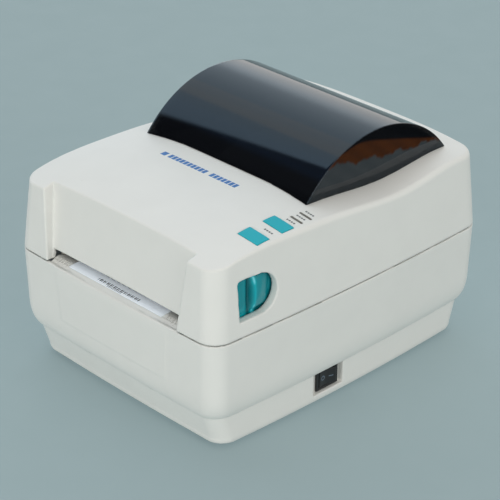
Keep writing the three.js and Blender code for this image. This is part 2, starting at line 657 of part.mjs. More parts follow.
function topCover() {
  const skin = loftLevels(COVER_LEVELS).intersect(under(0));
  const innerLevels = shifted(inset(COVER_LEVELS, WALL), 0, 90);
  const hollow = loftLevels(innerLevels).intersect(under(-WALL, 60, 5, 9));
  let cover = cut(skin, pocketTool(0), cut(hollow, pocketTool(WALL)));
  cover = cut(cover, box(-71.3, 71.3, -160, -120, 90, POCKET.bottom));
  const w = WINDOW_HOLE;
  cover = cut(cover, lidHole(-w.halfWidth, w.halfWidth, w.front, w.rear, 0));
  cover = cut(cover, buttonBox(BUTTONS.feedY, 0.4), buttonBox(BUTTONS.pauseY, 0.4));
  cover = cut(cover, lensBox(LENSES.errorY, 0.3), lensBox(LENSES.powerY, 0.3));
  for (const [from, to] of [[100, 120], [-120, -100]])
    cover = cut(cover, prism("x", LATCH_OPENING, from, to));
  for (const [x, y] of COVER_BOSSES)
    cover = join(cover, rod("z", x, y, 4, LINER.high + GAP, topHeight(x, y) - 1.2, 16));
  const arm = [[140.9, 112], [143.1, 112], [152.6, 96], [HINGE.y, HINGE.z], [140.9, 96]];
  for (const side of [1, -1]) {
    const [from, to] = [side * 52.3, side * 63.7].sort((a, b) => a - b);
    const knuckle = join(rod("x", HINGE.y, HINGE.z, HINGE.knuckle, from, to), prism("x", arm, from, to));
    cover = join(cover, knuckle);
    cover = cut(cover, rod("x", HINGE.y, HINGE.z, HINGE.bore, from - 5, to + 5));
  }
  return cover;
}

function smokedWindow() {
  const arch = (shrink) => circle(WINDOW.y, WINDOW.z, WINDOW.radius - shrink, 96);
  const dome = (shrink) =>
    prism("x", arch(shrink), shrink - WINDOW.halfWidth, WINDOW.halfWidth - shrink).intersect(
      box(-120, 120, WINDOW.front, WINDOW.rear, 140, 200),
    );
  const shell = cut(dome(0), dome(WINDOW.wall));
  const inside = WINDOW_HOLE;
  const ringOf = (outerGrow, thickness) => {
    const grow = (g, low, high) =>
      box(-inside.halfWidth - g, inside.halfWidth + g, inside.front - g, inside.rear + g, low, high);
    return cut(grow(outerGrow, 140, 190), grow(outerGrow - thickness, 130, 195));
  };
  const flange = ringOf(4.6, 6.2).intersect(dome(0)).intersect(under(2.2));
  const skirt = ringOf(-0.4, 1.2).intersect(under(1.5));
  return join(cut(join(shell, flange), under(GAP)), cut(skirt, under(-4)));
}

function buttonCap(y) {
  const cap = buttonBox(y).intersect(under(0.5));
  const flange = box(81.5, 103.1, y - 7.5, y + 7.5, 151, 175).intersect(under(-WALL - 0.7));
  const plunger = rod("z", 88, y, 2.5, 140.6, 153, 16);
  const plate = box(83.5, 98, y - 5, y + 5, 150.4, 153);
  return join(cap, flange, plate, plunger);
}

function lens(y) {
  const face = lensBox(y).intersect(under(0.15));
  return join(face, box(91, 95, y - 0.8, y + 0.8, 140.2, 152));
}

function coverLiner() {
  const l = LINER;
  let liner = box(-l.halfWidth, l.halfWidth, l.front, l.rear, l.low, l.high);
  for (const x of [-50, 50]) liner = cut(liner, rod("z", x, -108, 3.1, 120, 140, 20));
  for (const [x, y] of COVER_BOSSES) liner = cut(liner, rod("z", x, y, 1.6, 120, 140, 12));
  for (const x of [-81.5, 81.5]) {
    const ear = [[-106, 129], [-106, 112], ...arc(LATCH.y, LATCH.z, 6, 180, 360, 12), [-94, 129]];
    liner = join(liner, prism("x", ear, x - 1.5, x + 1.5));
  }
  liner = cut(liner, rod("x", LATCH.y, LATCH.z, LATCH.shaft + GAP, -100, 100));
  for (const [x, y] of [[84, -92], [93, -92], [84, -34.8], [93, -34.8]])
    liner = join(liner, rod("z", x, y, 2.4, l.high - 1, 137.7, 12));
  // Stiffening ribs and the tongue that reaches the tear bar.
  for (const y of [-80, -60]) liner = join(liner, box(-90, 76, y - 1, y + 1, l.high - 0.5, 138));
  return liner;
}

function tearBar() {
  const blade = box(-62, 62, -131.5, -130.5, 98.6, 108);
  const teeth = Array.from({ length: 21 }, (_, i) => {
    const x = -60 + i * 6;
    return prism("y", [[98, x - 1.8], [98, x + 1.8], [99.6, x]], -133, -129);
  });
  return cut(blade, ...teeth);
}

function latchLever(side) {
  const paddle = [
    [-122, 100],
    [-70, 100],
    ...arc(-81, 128, 11, 0, 90, 5),
    ...arc(-117, 134, 5, 90, 180, 4),
  ];
  let lever = prism("x", paddle, 99.4, 102.4);
  // The finger ridge and the soft bulge behind it, inside the opening.
  const ridge = [
    [-108, 108.5],
    [-104.5, 108.5],
    [-103, 121],
    [-104.5, 134.6],
    [-108, 134.6],
    [-109.5, 121],
  ];
  lever = join(lever, prism("x", ridge, 102, 106.2));
  const bulge = [[-103.8, 110], ...arc(-101, 121.6, 11, -75, 75, 8, 11.5), [-103.8, 133.2]];
  lever = join(lever, prism("x", bulge, 102, 104.8));
  lever = join(lever, rod("x", LATCH.y, LATCH.z, 6.2, 88, 101));
  const nose = CATCH.y + CATCH.pin + 1;
  const hook = [
    [LATCH.y - 4, LATCH.z],
    [-102, 92],
    [nose, 87.4],
    [nose, 84],
    [-96, 83.5],
    [-94, 92],
    [LATCH.y + 4, LATCH.z],
  ].reverse();
  lever = join(lever, prism("x", hook, 88, 92));
  lever = cut(lever, rod("x", LATCH.y, LATCH.z, LATCH.shaft + GAP, 80, 98.6));
  return side > 0 ? lever : mirrorX(lever);
}

function printheadBracket() {
  let bracket = box(-58, 58, -130, -104, 105.3, 107.3);
  bracket = join(bracket, box(-58, 58, -130, -128.4, 105.3, 115));
  for (const x of [-58, 56.4]) bracket = join(bracket, box(x, x + 1.6, -130, -105, 105.3, 115));
  for (const x of [-50, 50]) {
    bracket = join(bracket, rod("z", x, -108, 2.6, 106, 133, 16));
    bracket = join(bracket, rod("z", x, -108, 4.4, 131.4, 133.4, 16));
  }
  return bracket;
}

function printheadHeatsink() {
  let heatsink = box(-57, 57, -128, -106, 99.2, 105);
  for (let i = 0; i < 12; i++) {
    const x = -53 + i * 9.2;
    heatsink = cut(heatsink, box(x, x + 4.8, -125, -105, 101.6, 106));
  }
  return heatsink;
}

function socketBody({ x, halfWidth, low, high }, depth) {
  return box(x - halfWidth, x + halfWidth, SOCKET_REAR - depth, SOCKET_REAR, low, high);
}

function socketMouth({ x, halfWidth, low, high }, rim) {
  const half = halfWidth - rim;
  return box(x - half, x + half, SOCKET_REAR - 9, 140, low + 2, high - 2);
}

// ---- Build ----
place("base_pan", basePan(), WHITE_PLASTIC);
place("lower_shell", lowerShell(), WHITE_PLASTIC);
for (const [name, [x, y]] of Object.entries(FOOT_PLACES)) place(name, foot(x, y), RUBBER);
SCREW_PLACES.forEach(([x, y], i) => place(`base_screw_${i + 1}`, baseScrew(x, y), STEEL));
place("media_bay", mediaBay(), GREY_PLASTIC);
place("front_chassis", frontChassis(), STEEL);
place("platen_bushing_right", bushing(1), NYLON);
place("platen_bushing_left", bushing(-1), NYLON);
place("stepper_motor", stepperMotor(), STEEL);
place("motor_shaft", rod("x", MOTOR.y, MOTOR.z, 2.5, -77.6, -40, 20), STEEL);
place("motor_pinion", motorPinion(), NYLON);
place("idler_stud", idlerStud(), STEEL);
place("idler_gear", idlerGear(), NYLON);
place("platen_gear", platenGear(), NYLON);
place("platen_shaft", rod("x", PLATEN.y, PLATEN.z, PLATEN.shaft, -72.8, 70), STEEL);
const sleeve = [PLATEN.y, PLATEN.z, PLATEN.radius, PLATEN.shaft + GAP];
place("platen_roller", tube("x", ...sleeve, -PLATEN.halfLength, PLATEN.halfLength, 36), RUBBER);
place("main_board", box(-82, 40, 30, 126, 9.5, 11.1), CIRCUIT_BOARD);
place("usb_socket", cut(socketBody(USB, 16), socketMouth(USB, 1.6)), STEEL);
const barrel = rod("y", 16.9, POWER_INLET.x, 3.2, SOCKET_REAR - 10, 140, 20);
place("dc_jack", cut(socketBody(POWER_INLET, 14), barrel), BLACK_PLASTIC);
place("serial_socket", cut(socketBody(SERIAL, 12), socketMouth(SERIAL, 3.5)), STEEL);
place("switch_housing", switchHousing(), BLACK_PLASTIC);
place("power_rocker", powerRocker(), BLACK_PLASTIC);
place("label_sensor", box(4, 20, -99, -91, 84.8, 94.5), BLACK_PLASTIC);
place("catch_pin_right", rod("x", CATCH.y, CATCH.z, CATCH.pin, 86, 102, 20), STEEL);
place("catch_pin_left", rod("x", CATCH.y, CATCH.z, CATCH.pin, -102, -86, 20), STEEL);
place("hinge_pin_right", rod("x", HINGE.y, HINGE.z, HINGE.pin, 39.4, 76.6, 20), STEEL);
place("hinge_pin_left", rod("x", HINGE.y, HINGE.z, HINGE.pin, -76.6, -39.4, 20), STEEL);
place("label_web", labelWeb(), PAPER);
const paper = [ROLL.y, ROLL.z, ROLL.radius, ROLL.bore, -ROLL.halfWidth, ROLL.halfWidth];
place("label_roll", tube("x", ...paper, 48), PAPER);
place("roll_core", tube("x", ROLL.y, ROLL.z, 20.6, 19, -ROLL.halfWidth, ROLL.halfWidth, 32), CARDBOARD);
place("roll_hub_right", rollHub(1), GREY_PLASTIC);
place("roll_hub_left", rollHub(-1), GREY_PLASTIC);
place("media_holder_right", holder(), GREY_PLASTIC);
place("media_holder_left", halfTurnAboutGuide(holder()), GREY_PLASTIC);
place("guide_pinion", guidePinion(), NYLON);

place("top_cover", topCover(), WHITE_PLASTIC);
place("window", smokedWindow(), SMOKED_PLASTIC);
place("cover_liner", coverLiner(), GREY_PLASTIC);
place("button_board", box(79, 97, -96, -31, 138, 139.6), CIRCUIT_BOARD);
place("feed_button", buttonCap(BUTTONS.feedY), TEAL_PLASTIC);
place("pause_button", buttonCap(BUTTONS.pauseY), TEAL_PLASTIC);
place("error_lens", lens(LENSES.errorY), CLEAR_LENS);
place("power_lens", lens(LENSES.powerY), CLEAR_LENS);
place("tear_bar", tearBar(), STEEL);
place("latch_lever_right", latchLever(1), TEAL_PLASTIC);
place("latch_lever_left", latchLever(-1), TEAL_PLASTIC);
place("latch_shaft", rod("x", LATCH.y, LATCH.z, LATCH.shaft, -98, 98, 20), STEEL);
const latchCoil = coilSpring(4.7, 0.6, 9, 5);
place("latch_spring", latchCoil.rotate([0, 90, 0]).translate([68, LATCH.y, LATCH.z]), STEEL);
place("printhead_bracket", printheadBracket(), STEEL);
place("printhead_heatsink", printheadHeatsink(), ALUMINIUM);
place("printhead_substrate", box(-56, 56, -127, -110, 97.4, 98.9), CERAMIC);
const headSpring = { y: -115, low: 107.6, high: 127.7 };
for (const [name, x] of [["head_spring_right", 35], ["head_spring_left", -35]]) {
  const coil = coilSpring(4, 0.6, headSpring.high - headSpring.low, 6);
  place(name, coil.translate([x, headSpring.y, headSpring.low]), STEEL);
}

export default printer;
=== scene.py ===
"""Looks of a desktop thermal label printer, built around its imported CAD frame.

Shapes are given in the body's own millimetres (x and y from the middle of the body, z from the
floor) and turned into the row frame's metres by to_row(). The big mouldings are implicit
solids: each has a function that is negative inside the plastic, and mesh_of() wraps it.
"""

import json
import math
from contextlib import contextmanager

import bmesh
import bpy
import numpy as np
from mathutils import Matrix, Vector


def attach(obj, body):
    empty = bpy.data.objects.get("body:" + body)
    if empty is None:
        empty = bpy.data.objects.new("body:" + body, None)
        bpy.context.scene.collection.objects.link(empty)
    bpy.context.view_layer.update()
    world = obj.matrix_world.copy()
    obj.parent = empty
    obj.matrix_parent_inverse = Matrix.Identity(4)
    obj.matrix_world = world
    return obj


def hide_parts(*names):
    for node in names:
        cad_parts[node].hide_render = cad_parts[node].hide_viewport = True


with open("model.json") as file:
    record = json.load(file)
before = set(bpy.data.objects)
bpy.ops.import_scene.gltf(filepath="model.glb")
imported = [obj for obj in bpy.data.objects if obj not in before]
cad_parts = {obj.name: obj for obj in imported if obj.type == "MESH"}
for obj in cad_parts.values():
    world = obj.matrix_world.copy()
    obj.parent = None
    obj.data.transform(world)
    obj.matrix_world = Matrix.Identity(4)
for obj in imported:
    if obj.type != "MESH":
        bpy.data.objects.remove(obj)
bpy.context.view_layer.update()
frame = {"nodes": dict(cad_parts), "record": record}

# ---------------------------------------------------------------- sizes, in body millimetres

BODY_SHIFT = np.array([0.0, -4.75, 0.0])
WALL, THIN_WALL = 2.6, 2.4
HALF_WIDTH, HALF_DEPTH, CORNER = 113, 143.5, 15
SHELL_LOW, SHELL_TOP, COVER_LOW, RIDGE_TOP = 29, 93.5, 94.5, 161.4
SLOT_HALF, SLOT_TOP = 71.3, 102.6
THROUGH_TOP = (140, 175)

# Axes that run across the body, as (y, z).
HINGE, HINGE_EYE, HINGE_BORE = (148.5, 94.0), 4.5, 2.3
COVER_KNUCKLE, INNER_EAR, OUTER_EAR = (52.3, 63.7), (40, 52), (64, 76)
CATCH_AXIS, PIN_BORE = (-108, 90), 2.3
LATCH_AXIS = (-100, 112)
PLATEN_AXIS = (-118, 88.6)
MOTOR_AXIS = (-99.2, 56)
ROLL_AXIS = (48, 88)

# The arched window from front to rear, and the cover's opening under it.
ARCH_AXIS, ARCH_RADIUS, ARCH_HALF, ARCH_SPAN = (45.5, 99.9), 95.4, 86.2, (-30, 121)
FRAME_HALF, FRAME_FRONT, FRAME_REAR = 82.5, -23, 115

# Keys and status bars on the right of the top, with the middle of each along y, and the gap
# that the cover leaves around them.
KEY_LEFT, KEY_RIGHT, KEY_HALF, KEY_GAP = 83, 102.2, 5.9, 0.4
KEYS = {"feed": -88.4, "pause": -64.2}
BAR_LEFT, BAR_RIGHT, BAR_HALF, BAR_GAP = 90.3, 101.5, 0.8, 0.2
LIGHT_BARS = {"error": -49.3, "power": -40.2}

# The valley and the finger ridge of a latch lever, along y.
LATCH_VALLEY, LATCH_RIDGE = -103.5, -99.4

# The rocker, which rests tipped to one side.
ROCKER_PIVOT, ROCKER_HALF, ROCKER_TURN = (97.5, -20, 18.9), 7.8, math.radians(-8)

# Places in plan, as (x, y), and rear sockets as (middle x, half width, low, high).
COVER_BOSSES = [(60, -112), (-60, -112), (60, -42), (-60, -42)]
SCREWS = [(90, -100), (-90, -100), (92, 119), (-92, 119)]
BOARD_POSTS = [(-78, 36), (34, 36), (-78, 120), (34, 120)]
SOCKETS = [(-36, 6, 11.4, 22.4), (-12, 4.8, 11.4, 22.4), (-64, 15.5, 11.4, 23.2)]
FOOT_RADIUS = 9
FEET = {"front_left": (-78, -114), "front_right": (78, -114),
        "rear_left": (-78, 112), "rear_right": (78, 112)}


def to_row(points):
    return (np.asarray(points, float) + BODY_SHIFT) * 0.001


def to_body(points):
    return np.asarray(points, float) * 1000.0 - BODY_SHIFT


# ---------------------------------------------------------------- materials


def node(tree, kind, **values):
    made = tree.nodes.new(kind)
    for key, value in values.items():
        setattr(made, key, value)
    return made


def colour_mix(tree, **values):
    """A Mix node for colours: its factor, its two colour inputs and its result."""
    mix = node(tree, "ShaderNodeMix", data_type="RGBA", **values)
    colours = [socket for socket in mix.inputs if socket.type == "RGBA"]
    result = next(socket for socket in mix.outputs if socket.type == "RGBA")
    return mix.inputs["Factor"], colours, result


def finish(name, color, roughness, metallic=0.0, grain=900.0, bump=0.02, mottle=0.03,
           mottle_scale=40.0, rough_spread=0.06, stretch=(1, 1, 1), **sockets):
    """A surface whose colour, roughness and fine relief all vary procedurally."""
    material = bpy.data.materials.new(name)
    material.use_nodes = True
    tree = material.node_tree
    shader = tree.nodes["Principled BSDF"]
    place = node(tree, "ShaderNodeTexCoord")
    mapping = node(tree, "ShaderNodeMapping")
    mapping.inputs["Scale"].default_value = stretch
    tree.links.new(place.outputs["Object"], mapping.inputs["Vector"])

    broad = node(tree, "ShaderNodeTexNoise")
    broad.inputs["Scale"].default_value = mottle_scale
    broad.inputs["Detail"].default_value = 3.0
    tree.links.new(mapping.outputs["Vector"], broad.inputs["Vector"])
    tint = node(tree, "ShaderNodeValToRGB")
    tint.color_ramp.elements[0].position = 0.3
    tint.color_ramp.elements[1].position = 0.7
    tint.color_ramp.elements[0].color = [c * (1 - mottle) for c in color] + [1]
    tint.color_ramp.elements[1].color = [min(1, c * (1 + mottle)) for c in color] + [1]
    tree.links.new(broad.outputs["Fac"], tint.inputs["Fac"])
    tree.links.new(tint.outputs["Color"], shader.inputs["Base Color"])

    fine = node(tree, "ShaderNodeTexNoise")
    fine.inputs["Scale"].default_value = grain
    fine.inputs["Detail"].default_value = 2.0
    tree.links.new(mapping.outputs["Vector"], fine.inputs["Vector"])
    spread = node(tree, "ShaderNodeMapRange")
    spread.inputs["From Min"].default_value = 0.3
    spread.inputs["From Max"].default_value = 0.7
    spread.inputs["To Min"].default_value = max(0.02, roughness - rough_spread)
    spread.inputs["To Max"].default_value = roughness + rough_spread
    tree.links.new(fine.outputs["Fac"], spread.inputs["Value"])
    tree.links.new(spread.outputs["Result"], shader.inputs["Roughness"])

    relief = node(tree, "ShaderNodeBump")
    relief.inputs["Strength"].default_value = 1.0
    relief.inputs["Distance"].default_value = bump * 0.001
    tree.links.new(fine.outputs["Fac"], relief.inputs["Height"])
    tree.links.new(relief.outputs["Normal"], shader.inputs["Normal"])
    shader.inputs["Metallic"].default_value = metallic
    for key, value in sockets.items():
        shader.inputs[key.replace("_", " ")].default_value = value
    return material


MATERIALS = {
    "white_plastic": finish("white_plastic", (0.81, 0.81, 0.775), 0.46, bump=0.012, mottle=0.012),
    "grey_plastic": finish("grey_plastic", (0.245, 0.265, 0.272), 0.5, bump=0.02),
    "black_plastic": finish("black_plastic", (0.016, 0.017, 0.018), 0.42, bump=0.015, mottle=0.12),
    "teal_plastic": finish("teal_plastic", (0.024, 0.45, 0.54), 0.5, bump=0.006, mottle=0.02,
                           Specular_IOR_Level=0.15),
    "smoked_window": finish("smoked_window", (0.004, 0.0045, 0.006), 0.035, grain=30.0,
                            bump=0.002, rough_spread=0.012, IOR=1.52, Alpha=0.9,
                            Specular_Tint=(0.6, 0.82, 1.0, 1.0)),
    "clear_lens": finish("clear_lens", (0.12, 0.11, 0.085), 0.3, bump=0.004),
    "rubber": finish("rubber", (0.018, 0.018, 0.019), 0.78, grain=1400.0, bump=0.03, mottle=0.15),
    "steel": finish("steel", (0.50, 0.51, 0.52), 0.34, 1.0, grain=260.0, bump=0.004,
                    rough_spread=0.1, stretch=(1, 6, 6)),
    "aluminium": finish("aluminium", (0.62, 0.63, 0.64), 0.4, 1.0, grain=300.0, bump=0.006,
                        rough_spread=0.08, stretch=(1, 8, 1)),
    "ceramic": finish("ceramic", (0.66, 0.58, 0.46), 0.35, bump=0.004),
    "circuit_board": finish("circuit_board", (0.018, 0.13, 0.055), 0.35, grain=500.0, bump=0.02,
                            mottle=0.2, mottle_scale=160.0),
    "nylon": finish("nylon", (0.72, 0.70, 0.62), 0.45, bump=0.008),
    # The paper glows faintly: painted light that lifts the label out of the panel's shade.
    "paper": finish("paper", (0.88, 0.93, 0.98), 0.72, grain=2600.0, bump=0.01, mottle=0.02,
                    Emission_Color=(0.8, 0.9, 1.0, 1.0), Emission_Strength=0.16),
    "cardboard": finish("cardboard", (0.40, 0.25, 0.12), 0.8, grain=700.0, bump=0.05, mottle=0.12,
                        mottle_scale=200.0),
}
# A near-black copy of the teal plastic for the latch levers: their colour is painted shade and highlight
# from the vertex colour, and their plain teal is darker than the keys' as painted shade of the recess.
SHADED_LATCH_TEAL = finish("shaded_latch_teal", (0.0005, 0.01, 0.012), 0.17, bump=0.002, mottle=0.03)
BLUE_INK = finish("blue_ink", (0.008, 0.15, 0.46), 0.4, bump=0.004)
PRINT_INK = finish("print_ink", (0.12, 0.125, 0.13), 0.7, bump=0.004)
GREY_INK = finish("grey_ink", (0.11, 0.12, 0.125), 0.5, bump=0.004)
SWITCH_INK = finish("switch_ink", (0.16, 0.21, 0.27), 0.5, bump=0.004)


def painted(material, attribute):
    """Adds a mesh's own vertex colour to a finish's colour; its alpha sets the gloss."""
    tree = material.node_tree
    shader = tree.nodes["Principled BSDF"]
    base = shader.inputs["Base Color"].links[0].from_socket
    seen = node(tree, "ShaderNodeAttribute", attribute_name=attribute)
    factor, colours, result = colour_mix(tree, blend_type="ADD")
    factor.default_value = 1.0
    tree.links.new(base, colours[0])
    tree.links.new(seen.outputs["Color"], colours[1])
    tree.links.new(result, shader.inputs["Base Color"])
    tree.links.new(seen.outputs["Alpha"], shader.inputs["Specular IOR Level"])


# The window's colour takes a dim inside view and, along the arch, painted reflections.
painted(MATERIALS["smoked_window"], "inside_view_and_painted_reflection")
# The latch levers' colour is painted shade and highlight.
painted(SHADED_LATCH_TEAL, "painted_shade_and_highlight")

# ---------------------------------------------------------------- pieces

BODY_OF = {n: b for b, names in frame["record"]["behaviour"]["bodies"].items() for n in names}
SLOT_OF = {s["node"]: s["material_slot"] for s in frame["record"]["subparts"]}


def vertices_of(mesh):
    """A mesh's points in body millimetres."""
    places = np.empty(len(mesh.vertices) * 3, np.float32)
    mesh.vertices.foreach_get("co", places)
    return to_body(places.reshape(-1, 3))


def paint(obj, attribute, colours):
    """Stores a colour and gloss for every point, worked out from its place."""
    layer = obj.data.color_attributes.new(attribute, "FLOAT_COLOR", "POINT")
    layer.data.foreach_set("color", colours(*vertices_of(obj.data).T).astype(np.float32).ravel())


def settle(obj, body, slot, *nodes, material=None):
    """Gives a finished object its material and the body it moves with, and hides the CAD pieces it stands
    for.
    """
    obj.data.materials.clear()
    obj.data.materials.append(material or MATERIALS[slot])
    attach(obj, body)
    if nodes:
        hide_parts(*nodes)
    return obj


def stand_in(obj, node_name, material=None):
    """Settles an object that takes the place of one CAD piece."""
    return settle(obj, BODY_OF[node_name], SLOT_OF[node_name], node_name, material=material)


def new_object(name, data):
    obj = bpy.data.objects.new(name, data)
    bpy.context.scene.collection.objects.link(obj)
    return obj


def mesh_object(name, points, faces):
    """A new object from points in body millimetres."""
    mesh = bpy.data.meshes.new(name)
    mesh.from_pydata(to_row(points).tolist(), [], [list(f) for f in faces])
    mesh.update()
    return new_object(name, mesh)


def quad_object(name, points, quads):
    """The same for many quads held in an array."""
    mesh = bpy.data.meshes.new(name)
    mesh.vertices.add(len(points))
    mesh.vertices.foreach_set("co", to_row(points).astype(np.float32).ravel())
    mesh.loops.add(quads.size)
    mesh.loops.foreach_set("vertex_index", quads.astype(np.int32).ravel())
    mesh.polygons.add(len(quads))
    mesh.polygons.foreach_set("loop_start", np.arange(0, quads.size, 4, dtype=np.int32))
    mesh.update(calc_edges=True)
    mesh.validate()
    return new_object(name, mesh)


@contextmanager
def edited(mesh):
    """The mesh opened for editing, and written back at the end."""
    bm = bmesh.new()
    bm.from_mesh(mesh)
    yield bm
    bm.to_mesh(mesh)
    bm.free()


def smooth(obj, angle):
    obj.data.shade_smooth()
    obj.data.set_sharp_from_angle(angle=math.radians(angle))
    return obj


def bevel(obj, width):
    """Rounds an object's edges by a width in millimetres."""
    made = obj.modifiers.new("edge", "BEVEL")
    made.width = width * 0.001
    made.segments = 2
    made.limit_method = "ANGLE"
    made.angle_limit = math.radians(30)
    made.harden_normals = True
    return smooth(obj, 40.0)


# ---------------------------------------------------------------- implicit solids


def both(a, b, r=0.0):
    """Solid where a and b are both solid, with the edge between them rounded by r."""
    if np.isscalar(r) and r == 0:
        return np.maximum(a, b)
    return np.minimum(-r, np.maximum(a, b)) + np.hypot(np.maximum(r + a, 0), np.maximum(r + b, 0))


def without(a, b, r=0.0):
    """Solid where a is and b is not."""
    return both(a, -b, r)


def joined(a, b, r=0.0):
    """Solid where either is, with the corner between them filled by a fillet of r."""
    return -both(-a, -b, r)


def slab(u, low, high):
    return np.abs(u - (low + high) / 2) - (high - low) / 2


def circle(u, v, centre, radius):
    return np.hypot(u - centre[0], v - centre[1]) - radius


def rectangle(u, v, u0, u1, v0, v1, r):
    return both(slab(u, u0, u1), slab(v, v0, v1), r)


def block(x, y, z, x0, x1, y0, y1, z0, z1, r):
    """A box whose edges are all rounded by r."""
    p, q, s = slab(x, x0, x1) + r, slab(y, y0, y1) + r, slab(z, z0, z1) + r
    apart = np.sqrt(np.maximum(p, 0) ** 2 + np.maximum(q, 0) ** 2 + np.maximum(s, 0) ** 2)
    return apart + np.minimum(np.maximum(np.maximum(p, q), s), 0) - r


def rod(along, u, v, u0, v0, radius, low, high, r=0.4):
    """A round bar about (u0, v0), with its ends' edges rounded by r."""
    return both(circle(u, v, (u0, v0), radius), slab(along, low, high), r)


def convex(u, v, corners):
    """A convex outline, its corners given anticlockwise."""
    made = None
    for (u0, v0), (u1, v1) in zip(corners, corners[1:] + corners[:1]):
        length = math.hypot(u1 - u0, v1 - v0)
        side = ((v1 - v0) * (u - u0) - (u1 - u0) * (v - v0)) / length
        made = side if made is None else np.maximum(made, side)
    return made


def smoothstep(low, high, value):
    t = np.clip((value - low) / (high - low), 0, 1)
    return t * t * (3 - 2 * t)


def plan(x, y, half_width, front, rear, corner):
    """The body's plan outline: a rounded rectangle whose walls bulge a little."""
    middle, half_depth = (front + rear) / 2, (rear - front) / 2
    v = y - middle
    across = np.minimum((x / half_width) ** 2, 1.1)
    along = np.minimum((v / half_depth) ** 2, 1.1)
    u = np.abs(x / (1 - 4.0 / half_width * along)) - half_width + corner
    v = np.abs(v / (1 - 1.6 / half_depth * across)) - half_depth + corner
    return np.hypot(np.maximum(u, 0), np.maximum(v, 0)) + np.minimum(np.maximum(u, v), 0) - corner


def gradient(field, points, step):
    """A field's slope along x, y and z, measured over a step to either side."""
    columns = []
    for axis in range(3):
        offset = np.zeros(3)
        offset[axis] = step
        ahead, behind = points + offset, points - offset
        columns.append((field(*ahead.T) - field(*behind.T)) / (2 * step))
    return np.stack(columns, 1)


def crossed_edges(inside, index):
    """The grid edges with one end inside, and for each the quad of the four cells around it."""
    quads, starts, ends = [], [], []
    for d in range(3):
        u, v, w = (np.eye(3, dtype=int)[(d + k) % 3] for k in (1, 2, 0))
        here = inside.take(range(0, inside.shape[d] - 1), d)
        there = inside.take(range(1, inside.shape[d]), d)
        where = np.argwhere(here != there)
        where = where[(where[:, (d + 1) % 3] > 0) & (where[:, (d + 2) % 3] > 0)]
        where = where[np.all(where < index.shape, 1)]
        quad = np.stack([index[tuple((where - s).T)] for s in (u + v, v, u * 0, u)], 1)
        outward = here[tuple(where.T)]
        quad[~outward] = quad[~outward][:, ::-1]
        quads.append(quad)
        starts.append(where)
        ends.append(where + w)
    return (np.concatenate(part) for part in (quads, starts, ends))


def on_surface(field, points, cell):
    """Moves points on to the surface, and gives its slope there."""
    for _ in range(2):
        slope = gradient(field, points, 0.02)
        steep = np.maximum((slope ** 2).sum(1), 0.05)
        step = np.clip(field(*points.T) / steep, -0.3 * cell, 0.3 * cell)
        points = points - step[:, None] * slope
    return points, slope / np.maximum(np.linalg.norm(slope, axis=1, keepdims=True), 1e-6)


def nearest_to_planes(quads, hits, slopes, count, cell):
    """For each cell, the point closest to all of the surface's planes at its crossed edges."""
    owner, hit, slope = quads.ravel(), np.repeat(hits, 4, axis=0), np.repeat(slopes, 4, axis=0)

    def gathered(values):
        return np.bincount(owner, values, count)

    number = np.maximum(gathered(np.ones(len(owner))), 1)
    middle = np.stack([gathered(hit[:, i]) for i in range(3)], 1) / number[:, None]
    offset = (slope * (hit - middle[owner])).sum(1)
    matrix = np.empty((count, 3, 3))
    for i in range(3):
        for j in range(3):
            matrix[:, i, j] = gathered(slope[:, i] * slope[:, j]) + (0.04 * number if i == j else 0)
    vector = np.stack([gathered(slope[:, i] * offset) for i in range(3)], 1)
    shift = np.linalg.solve(matrix, vector[:, :, None])[:, :, 0]
    far = np.linalg.norm(shift, axis=1, keepdims=True)
    return middle + shift * np.minimum(1, 0.9 * cell / np.maximum(far, 1e-9))


def mesh_of(name, field, low, high, cell, keep=1.0):
    """Wraps a solid in quads, pulls them on to its surface and gives them its exact normals."""
    axes = [np.arange(a - cell, b + 2 * cell, cell, dtype=np.float32) for a, b in zip(low, high)]
    x, y, z = np.meshgrid(*axes, indexing="ij", sparse=True)
    value = field(x, y, z).astype(np.float32)
    inside = value < 0
    nx, ny, nz = (count - 1 for count in value.shape)
    corners = [
        inside[i:i + nx, j:j + ny, k:k + nz] for i in (0, 1) for j in (0, 1) for k in (0, 1)
    ]
    mixed = np.logical_or.reduce(corners) & ~np.logical_and.reduce(corners)
    count = int(mixed.sum())
    index = np.full(mixed.shape, -1, np.int64)
    index[mixed] = np.arange(count)
    quads, starts, ends = crossed_edges(inside, index)
    origin = np.array([axis[0] for axis in axes], float)
    va, vb = value[tuple(starts.T)].astype(float), value[tuple(ends.T)].astype(float)
    hits = origin + cell * (starts + (va / (va - vb))[:, None] * (ends - starts))
    hits, slopes = on_surface(field, hits, cell)
    obj = quad_object(name, nearest_to_planes(quads, hits, slopes, count, cell), quads)
    if keep < 1:
        thin = obj.modifiers.new("thin", "DECIMATE")
        thin.ratio = keep
        seen = obj.evaluated_get(bpy.context.evaluated_depsgraph_get())
        reduced = bpy.data.meshes.new_from_object(seen)
        obj.modifiers.clear()
        obj.data = reduced
    exact_normals(obj, field)
    return obj


def exact_normals(obj, field):
    """Gives each corner the field's own normal, except where the face leans away from it."""
    mesh = obj.data
    normal = gradient(field, vertices_of(mesh), 0.12)
    normal /= np.maximum(np.linalg.norm(normal, axis=1, keepdims=True), 1e-9)
    facing = np.empty(len(mesh.polygons) * 3, np.float32)
    mesh.polygons.foreach_get("normal", facing)
    counts = np.empty(len(mesh.polygons), np.int32)
    mesh.polygons.foreach_get("loop_total", counts)
    corner = np.empty(len(mesh.loops), np.int32)
    mesh.loops.foreach_get("vertex_index", corner)
    flat = np.repeat(facing.reshape(-1, 3), counts, axis=0)
    round_ = normal[corner]
    agree = (flat * round_).sum(1, keepdims=True) > 0.72
    mesh.shade_smooth()
    mesh.normals_split_custom_set(np.where(agree, round_, flat).tolist())


# ---------------------------------------------------------------- mouldings


